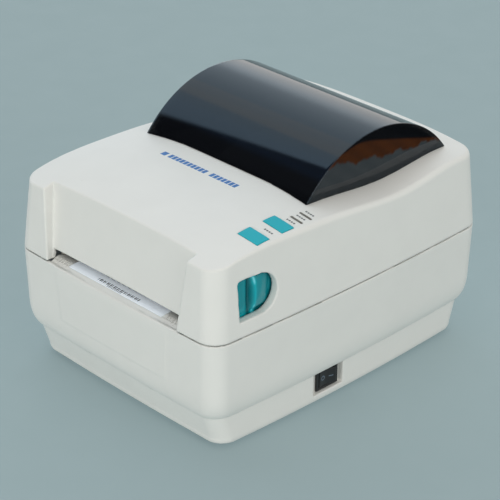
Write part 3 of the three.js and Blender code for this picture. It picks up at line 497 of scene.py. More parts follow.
def top_height(x, y):
    """The top's height: crowned, lower to the front and a little to the rear, and dipping at
    each side beside the window."""
    across = np.abs(x) / 108
    front_fall = 11 * np.maximum(0, (-y - 60) / 80) ** 2.2
    rear_fall = 2 * smoothstep(100, 141, y)
    crown = 5.5 - 2.5 * smoothstep(60, 140, -y)
    dip = 6 * np.exp(-(((y - 48) / 50) ** 2))
    ridge = RIDGE_TOP - front_fall - rear_fall
    return ridge - crown * across ** 3.7 - dip * smoothstep(0.45, 0.8, across)


def cover_skin(x, y, z, inset):
    """The cover's outside, moved in by inset. Its walls lean in, more so higher up."""
    d = np.clip(z - COVER_LOW, -8, 90)
    half_width = HALF_WIDTH - 0.072 * d - 0.00012 * d * d
    front = -HALF_DEPTH + 0.082 * d + 0.0001 * d * d
    side = plan(x, y, half_width, front, HALF_DEPTH - 0.0625 * d, CORNER) + inset
    edge = 1.1 + 2.4 * smoothstep(-128, -30, y)
    return both(side, z - top_height(x, y) + inset, edge)


def pocket(x, y, z):
    """The recessed front panel: it leans and bows a little, and its ends splay upwards."""
    back = -135.3 + (z - SLOT_TOP) * 0.16 - 0.9 * (x / 71) ** 2
    return both(np.abs(x) - SLOT_HALF - (z - 94) * 0.116, y - back, 0.9)


def latch_opening(y, z):
    """The opening for a latch lever: straight at the front, half an oval at the rear."""
    front, oval_start, oval_depth = -117.3, -98, 17
    middle, half_height = 121.65, 15.65
    curve = np.where(
        y > oval_start,
        16 * (np.hypot((y - oval_start) / oval_depth, (z - middle) / half_height) - 1),
        np.abs(z - middle) - half_height,
    )
    return both(curve, front - y, np.where(z > middle, 3.2, 0.8))


def hinge_knuckle(y, z, arm, along):
    """A round eye on an arm, as long as along allows."""
    eye = joined(circle(y, z, HINGE, HINGE_EYE), convex(y, z, arm), 0.5)
    return both(eye, along, 0.4)


def top_cover(x, y, z):
    """The hinged cover, open below, with its panel, openings, screw bosses and knuckles."""
    side = np.abs(x)
    hole = pocket(x, y, z)
    made = both(cover_skin(x, y, z, 0), COVER_LOW - z, 0.7)
    made = without(made, hole, 1.2)
    made = without(made, both(cover_skin(x, y, z, WALL), WALL - hole))
    opening = latch_opening(y, z)
    collar = both(both(opening - 2.4, 103.3 - side, 0.4), cover_skin(x, y, z, 1.0))
    made = joined(made, collar, 0.6)
    made = without(made, both(opening, 100 - side), 0.9)
    label_slot = block(x, y, z, -SLOT_HALF, SLOT_HALF, -160, -120, 80, SLOT_TOP, 0.2)
    made = without(made, label_slot, 0.5)
    window_hole = block(x, y, z, -FRAME_HALF, FRAME_HALF, FRAME_FRONT, FRAME_REAR, *THROUGH_TOP, 3)
    made = without(made, window_hole)
    for middle in KEYS.values():
        low, high = middle - KEY_HALF - 0.3, middle + KEY_HALF + 0.3
        hole = block(x, y, z, KEY_LEFT - KEY_GAP, KEY_RIGHT + KEY_GAP, low, high, *THROUGH_TOP, 0.4)
        made = without(made, hole, 0.15)
    for middle in LIGHT_BARS.values():
        low, high = middle - BAR_HALF - BAR_GAP, middle + BAR_HALF + BAR_GAP
        hole = block(x, y, z, BAR_LEFT - BAR_GAP, BAR_RIGHT + BAR_GAP, low, high, *THROUGH_TOP, 0.1)
        made = without(made, hole)
    for bx, by in COVER_BOSSES:
        made = joined(made, rod(z, x, y, bx, by, 4, 131.3, 156), 0.8)
    arm = [(140.9, 96), HINGE, (152.6, 96), (143.1, 112), (140.9, 112)]
    made = joined(made, hinge_knuckle(y, z, arm, slab(side, *COVER_KNUCKLE)), 0.5)
    return without(made, both(circle(y, z, HINGE, HINGE_BORE), 45 - side))


def lower_skin(x, y, z, inset):
    """The lower shell's outside, moved in by inset: nearly upright, and curled under below."""
    d = SHELL_TOP - z
    curl = np.clip((d - 44) / 20.5, 0, 1)
    tuck = 2.4 * curl ** 2 + 2.2 * curl ** 5
    half_depth = HALF_DEPTH - 0.02 * d - tuck
    # A very low raised field on the front wall.
    field = smoothstep(60, 57.5, np.abs(x) - (z - 48) * 0.06) * smoothstep(47.5, 50, z)
    front = -half_depth - 0.32 * field * smoothstep(93, 88, z)
    return plan(x, y, HALF_WIDTH - 0.026 * d - tuck, front, half_depth, CORNER) + inset


def seam_lip(x, y, z):
    """The lip that stands up inside the cover, and the band that joins it to the wall."""
    hollow = plan(x, y, 108.2, -138, 138.5, 11)
    lip = without(plan(x, y, 109.6, -140, 139.9, 12), hollow)
    band = without(plan(x, y, 111.2, -142, 141.4, 13), hollow)
    ring = joined(both(lip, slab(z, 86, 97), 0.3), both(band, slab(z, 86, 88)))
    return both(ring, -80 - y)


def with_exit_ramp(made, x, y, z):
    """Adds the ramp that rises from a rounded front lip to the tear slot, clear of the gear."""
    side = np.abs(x)
    ramp = [(-142, 90.5), (-128.5, 90.5), (-128.5, 95.9), (-133.5, 95.9), (-142, 92.2)]
    made = joined(made, both(convex(y, z, ramp), side - 70.9, 0.3), 0.5)
    gear_room = both(circle(y, z, PLATEN_AXIS, 13.4), slab(x, -71, -68))
    made = without(made, gear_room)
    above_lip = both(92.1 + (y + 142.6) * 0.4 - z, -136 - y, 0.3)
    return without(made, both(above_lip, side - 70.4, 0.4), 1.0)


def lower_shell(x, y, z):
    """The lower shell: lip, exit ramp, screw bosses, catch pin blocks and hinge ears."""
    side = np.abs(x)
    made = both(lower_skin(x, y, z, 0), z - SHELL_TOP, 0.6)
    made = both(made, SHELL_LOW - z, 0.5)
    made = without(made, both(lower_skin(x, y, z, WALL), SHELL_LOW + WALL - z))
    mouth = plan(x, y, 105.4, -137.1, 137.6, 13)
    made = without(made, mouth)
    made = joined(made, seam_lip(x, y, z), 0.2)
    made = with_exit_ramp(made, x, y, z)
    for sx, sy in SCREWS:
        boss = rod(z, x, y, sx, sy, 4.5, 12.6, 60)
        web = (sx, 106.5) if sx > 0 else (-106.5, sx)
        boss = joined(boss, block(x, y, z, *web, sy - 1, sy + 1, 40, 60, 0.3), 0.8)
        made = without(joined(made, boss, 0.6), rod(z, x, y, sx, sy, 1.8, 0, 30), 0.3)
    catch = block(side, y, z, 96, 109.3, -112.5, -103.5, 82, 93, 0.8)
    made = joined(made, catch, 0.6)
    made = without(made, both(circle(y, z, CATCH_AXIS, PIN_BORE), slab(side, 90, 102.4)))
    gusset = [(141.6, 76), (152.6, 92), HINGE, (141.6, 92.4)]
    ears = joined(slab(side, *INNER_EAR), slab(side, *OUTER_EAR))
    made = joined(made, hinge_knuckle(y, z, gusset, ears), 0.4)
    return without(made, both(circle(y, z, HINGE, HINGE_BORE), 35 - side))


def pan_skin(x, y, z, inset):
    """The base pan's outside: its ends spread upwards and its foot is rounded."""
    tuck = 2 * (1 - np.sqrt(1 - np.clip((8 - z) / 5.1, 0, 1) ** 2))
    rise = np.clip(z, 8, 29) - 8
    return plan(x, y, 105 - tuck, -129.5 - rise / 3 + tuck, 130.5 + rise * 0.31 - tuck, 13) + inset


def base_pan(x, y, z):
    """The base pan: switch recess, screw and foot seats, board posts, sockets and vents."""
    made = both(pan_skin(x, y, z, 0), slab(z, 3, 33.5), 0.7)
    made = without(made, both(pan_skin(x, y, z, THIN_WALL), 5.5 - z))
    switch_wall = both(block(x, y, z, 97.8, 112, -39, -4, 4.5, 33, 1), pan_skin(x, y, z, 0.3))
    made = joined(made, switch_wall, 0.5)
    switch_recess = block(x, y, z, 100.4, 116, -37, -6, 9.3, 28.6, 0.5)
    switch_hole = block(x, y, z, 88, 108, -30, -10, 10.6, 27.2, 0.4)
    made = without(without(made, switch_recess, 0.6), switch_hole)
    for sx, sy in SCREWS:
        made = joined(made, rod(z, x, y, sx, sy, 5, 4, 12.2), 0.6)
        made = without(made, rod(z, x, y, sx, sy, 1.9, 0, 20))
        made = without(made, rod(z, x, y, sx, sy, 4, 0, 7), 0.4)
    for fx, fy in FEET.values():
        made = without(made, rod(z, x, y, fx, fy, FOOT_RADIUS + 0.4, 0, 3.8), 0.3)
    for px, py in BOARD_POSTS:
        made = joined(made, rod(z, x, y, px, py, 3, 4, 9.2), 0.5)
    for sx, half, low, high in SOCKETS:
        sides = (sx - half - 0.4, sx + half + 0.4)
        made = without(made, block(x, y, z, *sides, 122, 145, low - 0.4, high + 0.4, 0.4), 0.5)
    for i in range(6):
        vent = -60 + 16 * i
        made = without(made, block(x, y, z, vent, vent + 3, 60, 100, 0, 8, 1.4), 0.5)
    return made


def dome(x, y, z, shrink, edge):
    arch = circle(y, z, ARCH_AXIS, ARCH_RADIUS) + shrink
    made = both(arch, np.abs(x) - ARCH_HALF + shrink, edge)
    return both(made, slab(y, *ARCH_SPAN))


def frame_outline(x, y, grow):
    """The outline of the cover's opening under the window, made larger by grow."""
    half = FRAME_HALF + grow
    return rectangle(x, y, -half, half, FRAME_FRONT - grow, FRAME_REAR + grow, 2)


def window(x, y, z):
    """The arched shell, the flange it stands on and the skirt that drops into the opening."""
    above = z - top_height(x, y)
    outer = dome(x, y, z, 0, 0.8)
    shell = without(outer, dome(x, y, z, THIN_WALL, 0.8))
    inner_edge = frame_outline(x, y, -1.6)
    flange = both(without(frame_outline(x, y, 4.6), inner_edge), above - 2.2)
    made = both(joined(shell, both(flange, outer)), 0.3 - above, 0.25)
    skirt = both(without(frame_outline(x, y, -0.4), inner_edge), slab(above, -4, 1.5))
    return joined(made, skirt)


def key(middle):
    """A key's cap, the flange that stops it under the cover, and its plunger."""

    def field(x, y, z):
        above = z - top_height(x, y)
        low, high = middle - KEY_HALF, middle + KEY_HALF
        cap = both(block(x, y, z, KEY_LEFT, KEY_RIGHT, low, high, 151, 175, 0.4), above - 0.5, 0.3)
        rim = block(x, y, z, KEY_LEFT - 1.5, KEY_RIGHT + 0.9, low - 1.6, high + 1.6, 151, 175, 0.5)
        plate = block(x, y, z, 83.5, 98, middle - 5, middle + 5, 150.4, 153, 0.3)
        made = joined(joined(cap, both(rim, above + 3.3), 0.3), plate, 0.3)
        return joined(made, rod(z, x, y, 88, middle, 2.5, 140.8, 153), 0.5)

    return field


def light_bar(middle):
    """A status bar's lens and the light pipe under it."""

    def field(x, y, z):
        above = z - top_height(x, y)
        low, high = middle - BAR_HALF, middle + BAR_HALF
        face = both(block(x, y, z, BAR_LEFT, BAR_RIGHT, low, high, 148, 175, 0.1), above - 0.15, 0.1)
        return joined(face, block(x, y, z, 91, 95, low, high, 140.2, 152, 0.2), 0.2)

    return field


def latch(x, y, z):
    """The lever: a flat paddle in the opening with a finger ridge and a soft pillow behind it."""
    up = (z - 121.4) / 13.2
    pillow = np.sqrt(np.clip(1 - up * up, 0, 1))
    back = np.clip((y + 99.7) / 16, 0, 1)
    swell = 4.2 * pillow * (1 - back ** 1.9) * smoothstep(LATCH_RIDGE - 3.4, LATCH_RIDGE, y)
    valley = np.exp(-(((y - LATCH_VALLEY - 0.4) / 1.3) ** 2)) * pillow
    front = 1.7 * (1 - smoothstep(-108.2, -104, y)) * pillow
    inner_face, outer_face = 99.4, 102.3
    height = outer_face + swell + front - valley
    paddle = rectangle(y, z, -122, -70, 100, 139, 6)
    made = both(both(paddle, (x - height) * 0.6), inner_face - x, 0.3)
    made = joined(made, rod(x, y, z, *LATCH_AXIS, 6.2, 88, 101), 0.5)
    arm = convex(y, z, [(-96, 112), (-104, 112), (-102, 92), (-94, 92)])
    hook = convex(y, z, [(-94, 92), (-102, 92), (-105, 87.4), (-105, 84), (-96, 83.5)])
    made = joined(made, both(joined(arm, hook, 0.5), slab(x, 88, 92), 0.4), 0.5)
    return without(made, both(circle(y, z, LATCH_AXIS, 3.3), x - 98.6))


def switch_housing(x, y, z):
    """The switch's bezel and barrel, hollowed for the rocker, with its three tabs behind."""
    v, w = y - ROCKER_PIVOT[1], z - ROCKER_PIVOT[2]
    made = block(x, v, w, 100.7, 102.3, -11.4, 11.4, -9.2, 9.2, 0.5)
    made = joined(made, block(x, v, w, 86, 101, -9.7, 9.7, -8, 8, 0.4), 0.3)
    made = without(made, block(x, v, w, 92.4, 112, -8.8, 8.8, -7, 7, 0.3), 0.45)
    made = joined(made, rod(z, x, y, *ROCKER_PIVOT[:2], 1.1, 11.8, 26))
    for tab in (-5, 0, 5):
        made = joined(made, block(x, v, w, 79, 87, tab - 0.4, tab + 0.4, -2.4, 2.4, 0.15))
    return made


def rocker_face(along):
    """How far the rocker's face stands from its pivot: lowest in the middle."""
    return 4.9 + 1.7 * (np.abs(along) / ROCKER_HALF) ** 1.7


def rocker(x, y, z):
    """The rocker: a dished face between two blunt ends, on a round pivot."""
    c, s = math.cos(ROCKER_TURN), math.sin(ROCKER_TURN)
    p, q = x - ROCKER_PIVOT[0], y - ROCKER_PIVOT[1]
    u, v = p * c + q * s, -p * s + q * c
    ends = np.abs(v) - ROCKER_HALF + 0.31 * np.maximum(1.5 - u, 0)
    made = both(both(u - rocker_face(v), ends, 0.7), slab(z, 12.3, 25.5), 0.5)
    return both(both(made, -3 - u), 1.45 - np.hypot(u, v))


def inside_view_and_painted_reflection(x, y, z):
    """What shows dimly through the window, with painted reflections added: in the end walls, from low to
    high, the sunk frame, the grey holders and the warm side of the roll with its ragged lower edge; along
    the arch, a deep blue foot and a warm band, which are painted reflections of the studio."""
    wave = 1.3 * np.sin(y * 0.21) + 0.9 * np.sin(y * 0.47 + 1) + 0.5 * np.sin(y * 1.1)
    frame_top = 159.2 + 3.2 * ((y - 52) / 62) ** 2
    warm_low = 180.5 - 0.2 * y + 0.0007 * y * y + wave
    warm_high = 193 - np.sqrt(9 + (0.29 * (y - 25)) ** 2)
    end = smoothstep(ARCH_HALF - 0.6, ARCH_HALF - 0.2, np.abs(x))
    low = end * smoothstep(0.7, -0.7, z - frame_top)
    warm = end * smoothstep(-0.8, 0.8, z - warm_low) * smoothstep(0.9, -0.9, z - warm_high)
    grey = end * smoothstep(0.8, -0.8, z - warm_low) * (1 - low) * smoothstep(122, 110, y)
    haze = 1 + 0.12 * np.sin(y * 0.33 + z * 0.4) + 0.08 * np.sin(y * 0.9 - z * 0.7)
    lean = np.degrees(np.arctan2(z - ARCH_AXIS[1], ARCH_AXIS[0] - y))
    # Painted reflection: along the arch, the warm band and the deep blue foot stand in for the soft box
    # mirrored in the glass.
    band = (1 - end) * smoothstep(63, 65, lean) * smoothstep(74, 72, lean)
    foot = (1 - end) * smoothstep(48, 53, lean) * smoothstep(66, 54, lean)
    shades = (
        (low, (0.003, 0.004, 0.004)),
        (warm, (0.052, 0.0145, 0.001)),
        (grey, (0.027, 0.026, 0.025)),
        (band, (0.016, 0.009, 0.002)),
        (foot, (0.001, 0.004, 0.010)),
    )
    colour = sum((amount * haze)[:, None] * np.array(shade) for amount, shade in shades)
    gloss = 0.5 - end * (0.49 - 0.39 * np.maximum(low, grey))
    return np.concatenate([colour, gloss[:, None]], 1)


def latch_painted_shade_and_highlight(x, y, z):
    """Painted shade and highlight on the lever: a dark valley of painted shade, a bright ridge of painted
    highlight that whitens near its top and bottom, a darker rim of painted shade at the rear and a lighter
    lower front of painted light.
    """
    valley = np.exp(-(((y - LATCH_VALLEY + 0.3) / 2.1) ** 2))
    painted_ridge_end_glints = 1.2 * smoothstep(127, 131, z) + 0.8 * smoothstep(114.5, 111, z)
    ridge = np.exp(-(((y - LATCH_RIDGE) / 1.4) ** 2)) * (1 + painted_ridge_end_glints)
    rear = np.hypot(np.maximum(y + 94, 0) / 14, (z - 121.6) / 14.2)
    rim = smoothstep(0.72, 1.02, rear) * smoothstep(-99, -95, y)
    low = smoothstep(116, 110, z - 0.6 * (y + 109)) * smoothstep(LATCH_VALLEY, LATCH_VALLEY - 1.5, y)
    # Painted shade and highlight: these levels scale a teal kept darker than the keys' as painted shade,
    # and white adds painted glints at the ridge's ends.
    level = np.clip(1 - 0.72 * valley + 0.5 * ridge - 0.6 * rim + 0.3 * low, 0.1, 3)
    white = np.clip(ridge - 1.25, 0, 1) * 0.2
    colour = level[:, None] * np.array((0.001, 0.275, 0.32)) + white[:, None]
    gloss = np.full((len(y), 1), 0.5)
    return np.concatenate([colour, gloss], 1)


cell = 1.15
MOULDINGS = [
    # name, shape, low corner, high corner, node
    ("cover_moulding", top_cover, (-114, -144.5, 89), (114, 154, 162.5), "top_cover"),
    ("lower_moulding", lower_shell, (-114, -145, 12), (114, 154, 99), "lower_shell"),
    ("base_moulding", base_pan, (-106, -138, 2), (106, 139, 35), "base_pan"),
]
for name, shape, low, high, node_name in MOULDINGS:
    stand_in(mesh_of(name, shape, low, high, cell, 0.5), node_name)

window_cell = 1.1
window_piece = mesh_of("window_moulding", window, (-88, -32, 146), (88, 123, 196.5), window_cell)
# The window's vertex colour holds the dim inside view and, along the arch, painted reflections.
paint(window_piece, "inside_view_and_painted_reflection", inside_view_and_painted_reflection)
stand_in(window_piece, "window")
for name, middle in KEYS.items():
    low, high = (78, middle - 8, 140), (104.5, middle + 8, 162)
    stand_in(mesh_of(f"{name}_button_cap", key(middle), low, high, 0.4), f"{name}_button")
for name, middle in LIGHT_BARS.items():
    low, high = (88, middle - 1.2, 140), (102, middle + 1.2, 161)
    stand_in(mesh_of(f"{name}_lens_bar", light_bar(middle), low, high, 0.25, 0.5), f"{name}_lens")
for side, name in ((1, "right"), (-1, "left")):
    ends = sorted((side * 87, side * 107.5))
    lever = mesh_of(f"latch_{name}", lambda x, y, z, side=side: latch(side * x, y, z),
                    (ends[0], -123, 82), (ends[1], -69, 140), 0.6)
    # Paints shade and highlight into the lever's colour.
    paint(lever, "painted_shade_and_highlight", latch_painted_shade_and_highlight)
    stand_in(lever, f"latch_lever_{name}", SHADED_LATCH_TEAL)
stand_in(mesh_of("switch_case", switch_housing, (78, -32, 9), (103, -8, 29), 0.4, 0.6), "switch_housing")
stand_in(mesh_of("rocker_key", rocker, (92, -30, 12), (106, -10, 26.5), 0.3, 0.6), "power_rocker")

# ---------------------------------------------------------------- turned and bevelled pieces


def turned(name, axis, middle, profile, steps=72):
    """A closed ring of (radius, along) points turned about an axis; middle gives the other two
    coordinates in x, y, z order."""
    count = len(profile)
    angle = np.linspace(0, 2 * math.pi, steps, endpoint=False)
    radius, along = np.array(profile, float).T
    u = np.outer(np.cos(angle), radius) + middle[0]
    v = np.outer(np.sin(angle), radius) + middle[1]
    w = np.broadcast_to(along, u.shape)
    order = {"x": (w, u, v), "z": (u, v, w)}[axis]
    points = np.stack(order, -1).reshape(-1, 3)
    faces = []
    for i in range(steps):
        for j in range(count):
            a, b = i * count + j, i * count + (j + 1) % count
            c, d = (b + count) % (steps * count), (a + count) % (steps * count)
            faces.append((a, b, c, d))
    obj = mesh_object(name, points, faces)
    with edited(obj.data) as bm:
        bmesh.ops.remove_doubles(bm, verts=bm.verts, dist=1e-6)
        bmesh.ops.recalc_face_normals(bm, faces=bm.faces)
    return smooth(obj, 32)


def tube_profile(outer, inner, low, high, edge=0.3):
    """A sleeve, or a solid pin when the inner radius is 0, with rounded outer edges."""
    arc = [(outer - edge * (1 - math.cos(t)), high - edge * (1 - math.sin(t)))
           for t in np.radians([0, 30, 60, 90])]
    other = [(r, low + high - a) for r, a in reversed(arc)]
    return [(inner, low), *other, *arc, (inner, high)]


def refined(node_name, width):
    """A copy of a CAD piece with its edges rounded, which stands for it."""
    mesh = frame["nodes"][node_name].data.copy()
    with edited(mesh) as bm:
        bmesh.ops.remove_doubles(bm, verts=bm.verts, dist=2e-6)
        bmesh.ops.dissolve_limit(bm, angle_limit=math.radians(1.2), verts=bm.verts, edges=bm.edges)
    return stand_in(bevel(new_object(node_name + "_fine", mesh), width), node_name)


for place, middle in FEET.items():
    profile = [(0, 0.3), (3, 0.3), (3.6, 0), (7.2, 0), (7.9, 0.25), (FOOT_RADIUS, 1.4),
               (FOOT_RADIUS, 3.5), (0, 3.5)]
    stand_in(turned(f"foot_{place}_pad", "z", middle, profile), f"foot_{place}")

PIN_NEAR, PIN_FAR = INNER_EAR[0] - 0.6, OUTER_EAR[1] + 0.6
AXLE_PIECES = [
    # name, axis, profile, steps, node
    ("roll_paper", ROLL_AXIS, tube_profile(58, 21, -51, 51, 0.4), 160, "label_roll"),
    ("core_tube", ROLL_AXIS, tube_profile(20.6, 19, -51, 51, 0.3), 72, "roll_core"),
    ("platen_rubber", PLATEN_AXIS, tube_profile(8, 4.3, -56, 56, 0.8), 72, "platen_roller"),
    ("platen_axle", PLATEN_AXIS, tube_profile(4, 0, -72.8, 70, 0.5), 72, "platen_shaft"),
    ("motor_axle", MOTOR_AXIS, tube_profile(2.5, 0, -77.6, -40, 0.4), 72, "motor_shaft"),
    ("latch_axle", LATCH_AXIS, tube_profile(3, 0, -98, 98, 0.4), 72, "latch_shaft"),
    ("catch_right", CATCH_AXIS, tube_profile(2, 0, 86, 102, 0.5), 72, "catch_pin_right"),
    ("catch_left", CATCH_AXIS, tube_profile(2, 0, -102, -86, 0.5), 72, "catch_pin_left"),
    ("pin_right", HINGE, tube_profile(2, 0, PIN_NEAR, PIN_FAR, 0.5), 72, "hinge_pin_right"),
    ("pin_left", HINGE, tube_profile(2, 0, -PIN_FAR, -PIN_NEAR, 0.5), 72, "hinge_pin_left"),
]
for name, axis, profile, steps, node_name in AXLE_PIECES:
    stand_in(turned(name, "x", axis, profile, steps), node_name)

LARGE_PIECES = ("media_bay", "media_holder_right", "media_holder_left", "front_chassis", "cover_liner",
                "printhead_bracket")
FITTINGS = ("stepper_motor", "printhead_heatsink", "printhead_substrate", "label_sensor", "tear_bar",
            "usb_socket", "serial_socket", "dc_jack", "main_board", "button_board", "label_web")
DRIVE_PIECES = ("platen_gear", "idler_gear", "motor_pinion", "guide_pinion", "idler_stud",
                "platen_bushing_right", "platen_bushing_left", "roll_hub_right", "roll_hub_left",
                "base_screw_1", "base_screw_2", "base_screw_3", "base_screw_4")
for edge, node_names in ((0.35, LARGE_PIECES), (0.12, FITTINGS), (0.15, DRIVE_PIECES)):
    for node_name in node_names:
        refined(node_name, edge)


def coil(name, start, axis, radius, wire, length, turns, node_name):
    """A wound wire with closed round ends."""
    steps, sides = turns * 40, 14
    t = np.linspace(0, 1, steps + 1)
    angle = 2 * math.pi * turns * t
    run = wire + (length - 2 * wire) * t
    middle = np.stack([radius * np.cos(angle), radius * np.sin(angle), run], 1)
    out = np.stack([np.cos(angle), np.sin(angle), 0 * angle], 1)
    ring = 2 * math.pi * np.arange(sides) / sides
    points = middle[:, None] + wire * (
        np.cos(ring)[None, :, None] * out[:, None] + np.sin(ring)[None, :, None] * np.array([0, 0, 1])
    )
    points = points.reshape(-1, 3)
    faces = [
        (i * sides + j, i * sides + (j + 1) % sides, (i + 1) * sides + (j + 1) % sides, (i + 1) * sides + j)
        for i in range(steps) for j in range(sides)
    ]
    faces += [tuple(reversed(range(sides))), tuple(steps * sides + j for j in range(sides))]
    if axis == "x":
        points = points[:, [2, 1, 0]] * (1, 1, -1)
    obj = smooth(mesh_object(name, points + np.array(start), faces), 50)
    with edited(obj.data) as bm:
        bmesh.ops.recalc_face_normals(bm, faces=bm.faces)
    return stand_in(obj, node_name)


coil("latch_coil", (68, *LATCH_AXIS), "x", 4.7, 0.6, 9, 5, "latch_spring")
for side, x in (("right", 35), ("left", -35)):
    coil(f"head_coil_{side}", (x, -115, 107.6), "z", 4, 0.6, 20.1, 6, f"head_spring_{side}")

# ---------------------------------------------------------------- marks and small relief


def marks(name, cells, surface, body, slot, material, rise=0.05, sunk=0.15):
    """Thin printed or moulded strips that follow a surface: cells are (x0, x1, y0, y1)."""
    points, faces = [], []
    for x0, x1, y0, y1 in cells:
        nx, ny = max(1, round((x1 - x0) / 3)), max(1, round((y1 - y0) / 1.5))
        xs, ys = np.linspace(x0, x1, nx + 1), np.linspace(y0, y1, ny + 1)
        first, layer = len(points), (nx + 1) * (ny + 1)
        for lift in (-sunk, rise):
            points += [(x, y, float(surface(x, y)) + lift) for y in ys for x in xs]

        def at(i, j, top):
            return first + top * layer + j * (nx + 1) + i

        for j in range(ny):
            for i in range(nx):
                faces.append((at(i, j, 1), at(i + 1, j, 1), at(i + 1, j + 1, 1), at(i, j + 1, 1)))
                faces.append((at(i, j, 0), at(i, j + 1, 0), at(i + 1, j + 1, 0), at(i + 1, j, 0)))
        for i in range(nx):
            faces.append((at(i, 0, 0), at(i + 1, 0, 0), at(i + 1, 0, 1), at(i, 0, 1)))
            faces.append((at(i + 1, ny, 0), at(i, ny, 0), at(i, ny, 1), at(i + 1, ny, 1)))
        for j in range(ny):
            faces.append((at(0, j + 1, 0), at(0, j, 0), at(0, j, 1), at(0, j + 1, 1)))
            faces.append((at(nx, j, 0), at(nx, j + 1, 0), at(nx, j + 1, 1), at(nx, j, 1)))
    return settle(mesh_object(name, points, faces), body, slot, material=material)


def repeated(start, step, width, count):
    """The two ends of each of several equal strips, a step apart."""
    return [(start + step * i, start + width + step * i) for i in range(count)]


# A plain row of bars on the top, and short dashes beside each key and light bar.
row = [(-47, -42)] + repeated(-39, 4.1, 3.2, 10) + repeated(6, 4.1, 3.2, 7)
marks("top_bars", [(a, b, -50.6, -45.2) for a, b in row], top_height, "cover",
      "white_plastic", BLUE_INK)
dashes = [
    (a, b, middle - 0.75, middle + 0.75)
    for middle, start in ((-76.2, 91), (-54.2, 91), (-44.6, 91.5), (-35.6, 91.5))
    for a, b in repeated(start, 2.2, 1.5, 4)
]
marks("key_dashes", dashes, top_height, "cover", "white_plastic", GREY_INK)


def web_height(x, y):
    return 95.9 + (y + 138.5) * 0.109


def ramp_height(x, y):
    return 92.6 + (y + 141) * 0.44


# The printed part of the label: a block of bars and two rows of dots.
bars = []
for i in range(24):
    start = -21 + 1.9 * i
    bars.append((start, start + (0.6, 1.1, 0.8, 1.3)[(i * 7) % 4], -136.4, -133.6))
dots = [(a, b, y, y + 0.6) for a, b in repeated(-9, 1.6, 0.9, 10) for y in (-138.0, -137.1)]
marks("label_print", bars + dots, web_height, "root", "paper", PRINT_INK, rise=0.03, sunk=0.1)
ribs = [(side * x - 0.3, side * x + 0.3, -140.6, -133.6) for side in (-1, 1) for x in range(54, 67, 3)]
marks("ramp_ribs", ribs, ramp_height, "root", "white_plastic", MATERIALS["white_plastic"],
      rise=0.22, sunk=0.3)


def rocker_marks():
    """The off ring and the on bar, printed on the rocker's two halves."""
    points, faces = [], []
    c, s = math.cos(ROCKER_TURN), math.sin(ROCKER_TURN)

    def add(outline):
        # outline: (along the rocker, up) pairs, an outer loop then an inner one
        first = len(points)
        for v, w in outline:
            u = rocker_face(v) + 0.04
            x, y, z = ROCKER_PIVOT
            points.append((x + u * c - v * s, y + u * s + v * c, z + w))
        half = len(outline) // 2
        for i in range(half):
            j = (i + 1) % half
            faces.append((first + i, first + j, first + half + j, first + half + i))

    turn = [2 * math.pi * i / 40 for i in range(40)]
    add([(-3.9 + r * math.cos(t), 0.2 + r * math.sin(t)) for r in (1.9, 1.25) for t in turn])
    start, end, half_width = 1.9, 5.6, 0.35
    bar = [(start, half_width), (start, -half_width), (end, -half_width), (end, half_width)]
    add(bar + [(start + (v - start) * 0.98, w * 0.02) for v, w in bar])
    made = mesh_object("rocker_print", points, faces)
    return settle(made, "rocker", "black_plastic", material=SWITCH_INK)


rocker_marks()

# ---------------------------------------------------------------- camera, floor, light


def set_camera(eye, aim, tilt, lens):
    """A camera at eye that looks at aim, turned by tilt degrees about its own line of sight."""
    ahead = (aim - eye).normalized()
    level = ahead.cross(Vector((0, 0, 1))).normalized()
    upright = level.cross(ahead)
    c, s = math.cos(math.radians(tilt)), math.sin(math.radians(tilt))
    right, up = level * c + upright * s, upright * c - level * s
    camera = new_object("camera", bpy.data.cameras.new("camera"))
    camera.data.lens = lens
    camera.data.sensor_width = 36
    camera.data.clip_start = 0.05
    camera.matrix_world = Matrix.Translation(eye) @ Matrix((right, up, -ahead)).transposed().to_4x4()
    bpy.context.scene.camera = camera


set_camera(Vector((0.92493, -0.90610, 0.76333)), Vector((-0.001585, -0.00475, 0.07818)), 0.308, 136.29)

floor_mesh = bpy.data.meshes.new("floor")
floor_mesh.from_pydata([(-9, -9, 0), (9, -9, 0), (9, 9, 0), (-9, 9, 0)], [], [(0, 1, 2, 3)])
floor = new_object("floor", floor_mesh)
floor.data.materials.append(finish("floor", (0.185, 0.235, 0.238), 0.9, grain=30.0, bump=0.0,
                                   mottle=0.004, Emission_Color=(0.30, 0.40, 0.425, 1.0),
                                   Emission_Strength=0.46))


def around(azimuth, elevation, distance=1):
    """A place seen from the object: azimuth 0 is +Y, -90 is -X."""
    a, e = math.radians(azimuth), math.radians(elevation)
    return Vector((math.sin(a) * math.cos(e), math.cos(a) * math.cos(e), math.sin(e))) * distance


def softbox(name, place, width, height, watts, seen_in_gloss):
    """A warm white panel that faces the object."""
    lamp = bpy.data.lights.new(name, "AREA")
    lamp.shape = "RECTANGLE"
    lamp.size, lamp.size_y = width, height
    lamp.energy = watts
    lamp.color = (1, 0.975, 0.94)
    obj = new_object(name, lamp)
    obj.location = place
    obj.rotation_euler = (Vector((0, 0, 0.12)) - Vector(place)).to_track_quat("-Z", "Y").to_euler()
    obj.visible_glossy = seen_in_gloss


LIGHTS = [
    # name, place, width, height, watts, seen in reflections
    ("overhead", (0, 0.1, 2.4), 1.7, 1.7, 4.1, True),
    ("rear", around(-25, 12, 2.2), 1.6, 0.5, 4.0, False),
    ("front", around(172, 8, 2.6), 2.0, 0.7, 21.5, True),
    ("right", around(98, 20, 2.6), 2.0, 1.0, 12.5, True),
]
for light in LIGHTS:
    softbox(*light)


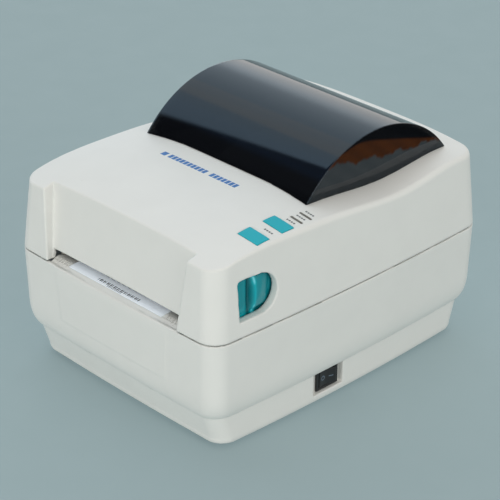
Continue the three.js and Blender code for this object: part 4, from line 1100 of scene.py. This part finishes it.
def studio(strength, tone, flag_edge, flag_middle, box_middle, glow_middle):
    """A soft surround: even light from all sides, a large cool soft box on the left that ends at
    a straight edge, a dark flag beyond that edge, and a small glow low at the rear left."""
    world = bpy.data.worlds.new("studio")
    world.use_nodes = True
    tree = world.node_tree
    place = node(tree, "ShaderNodeTexCoord")

    def towards(direction, low, high):
        dot = node(tree, "ShaderNodeVectorMath", operation="DOT_PRODUCT")
        dot.inputs[1].default_value = direction
        tree.links.new(place.outputs["Generated"], dot.inputs[0])
        ramp = node(tree, "ShaderNodeMapRange", interpolation_type="SMOOTHSTEP")
        ramp.inputs["From Min"].default_value = low
        ramp.inputs["From Max"].default_value = high
        tree.links.new(dot.outputs["Value"], ramp.inputs["Value"])
        return ramp.outputs["Result"]

    def cone(direction, outer, inner):
        return towards(direction, math.cos(math.radians(outer)), math.cos(math.radians(inner)))

    def maths(operation, a, b):
        made = node(tree, "ShaderNodeMath", operation=operation)
        for socket, value in zip(made.inputs, (a, b)):
            if isinstance(value, float):
                socket.default_value = value
            else:
                tree.links.new(value, socket)
        return made.outputs["Value"]

    beyond = towards(flag_edge[1].cross(flag_edge[0]).normalized(), 0.0, 0.025)
    near = cone(flag_middle, 44, 34)
    lit = maths("SUBTRACT", 1.0, maths("MULTIPLY", maths("MULTIPLY", beyond, near), 0.99))
    box = cone(box_middle, 55, 25)
    glow = maths("MULTIPLY", cone(glow_middle, 23, 4), 1.1)
    level = maths("ADD", box, maths("ADD", glow, 1.0))
    factor, tones, mixed = colour_mix(tree)
    tones[0].default_value, tones[1].default_value = (*tone, 1), (0.86, 0.98, 1.07, 1)
    tree.links.new(box, factor)
    back = tree.nodes["Background"]
    tree.links.new(mixed, back.inputs["Color"])
    tree.links.new(maths("MULTIPLY", maths("MULTIPLY", lit, level), strength), back.inputs["Strength"])
    bpy.context.scene.world = world


studio(0.6, (1.0, 0.99, 0.97), flag_edge=(around(-111, 43), around(-100, 51)),
       flag_middle=around(-128, 28), box_middle=around(-78, 42), glow_middle=around(-41, 6))
bpy.context.scene.view_settings.view_transform = "Standard"
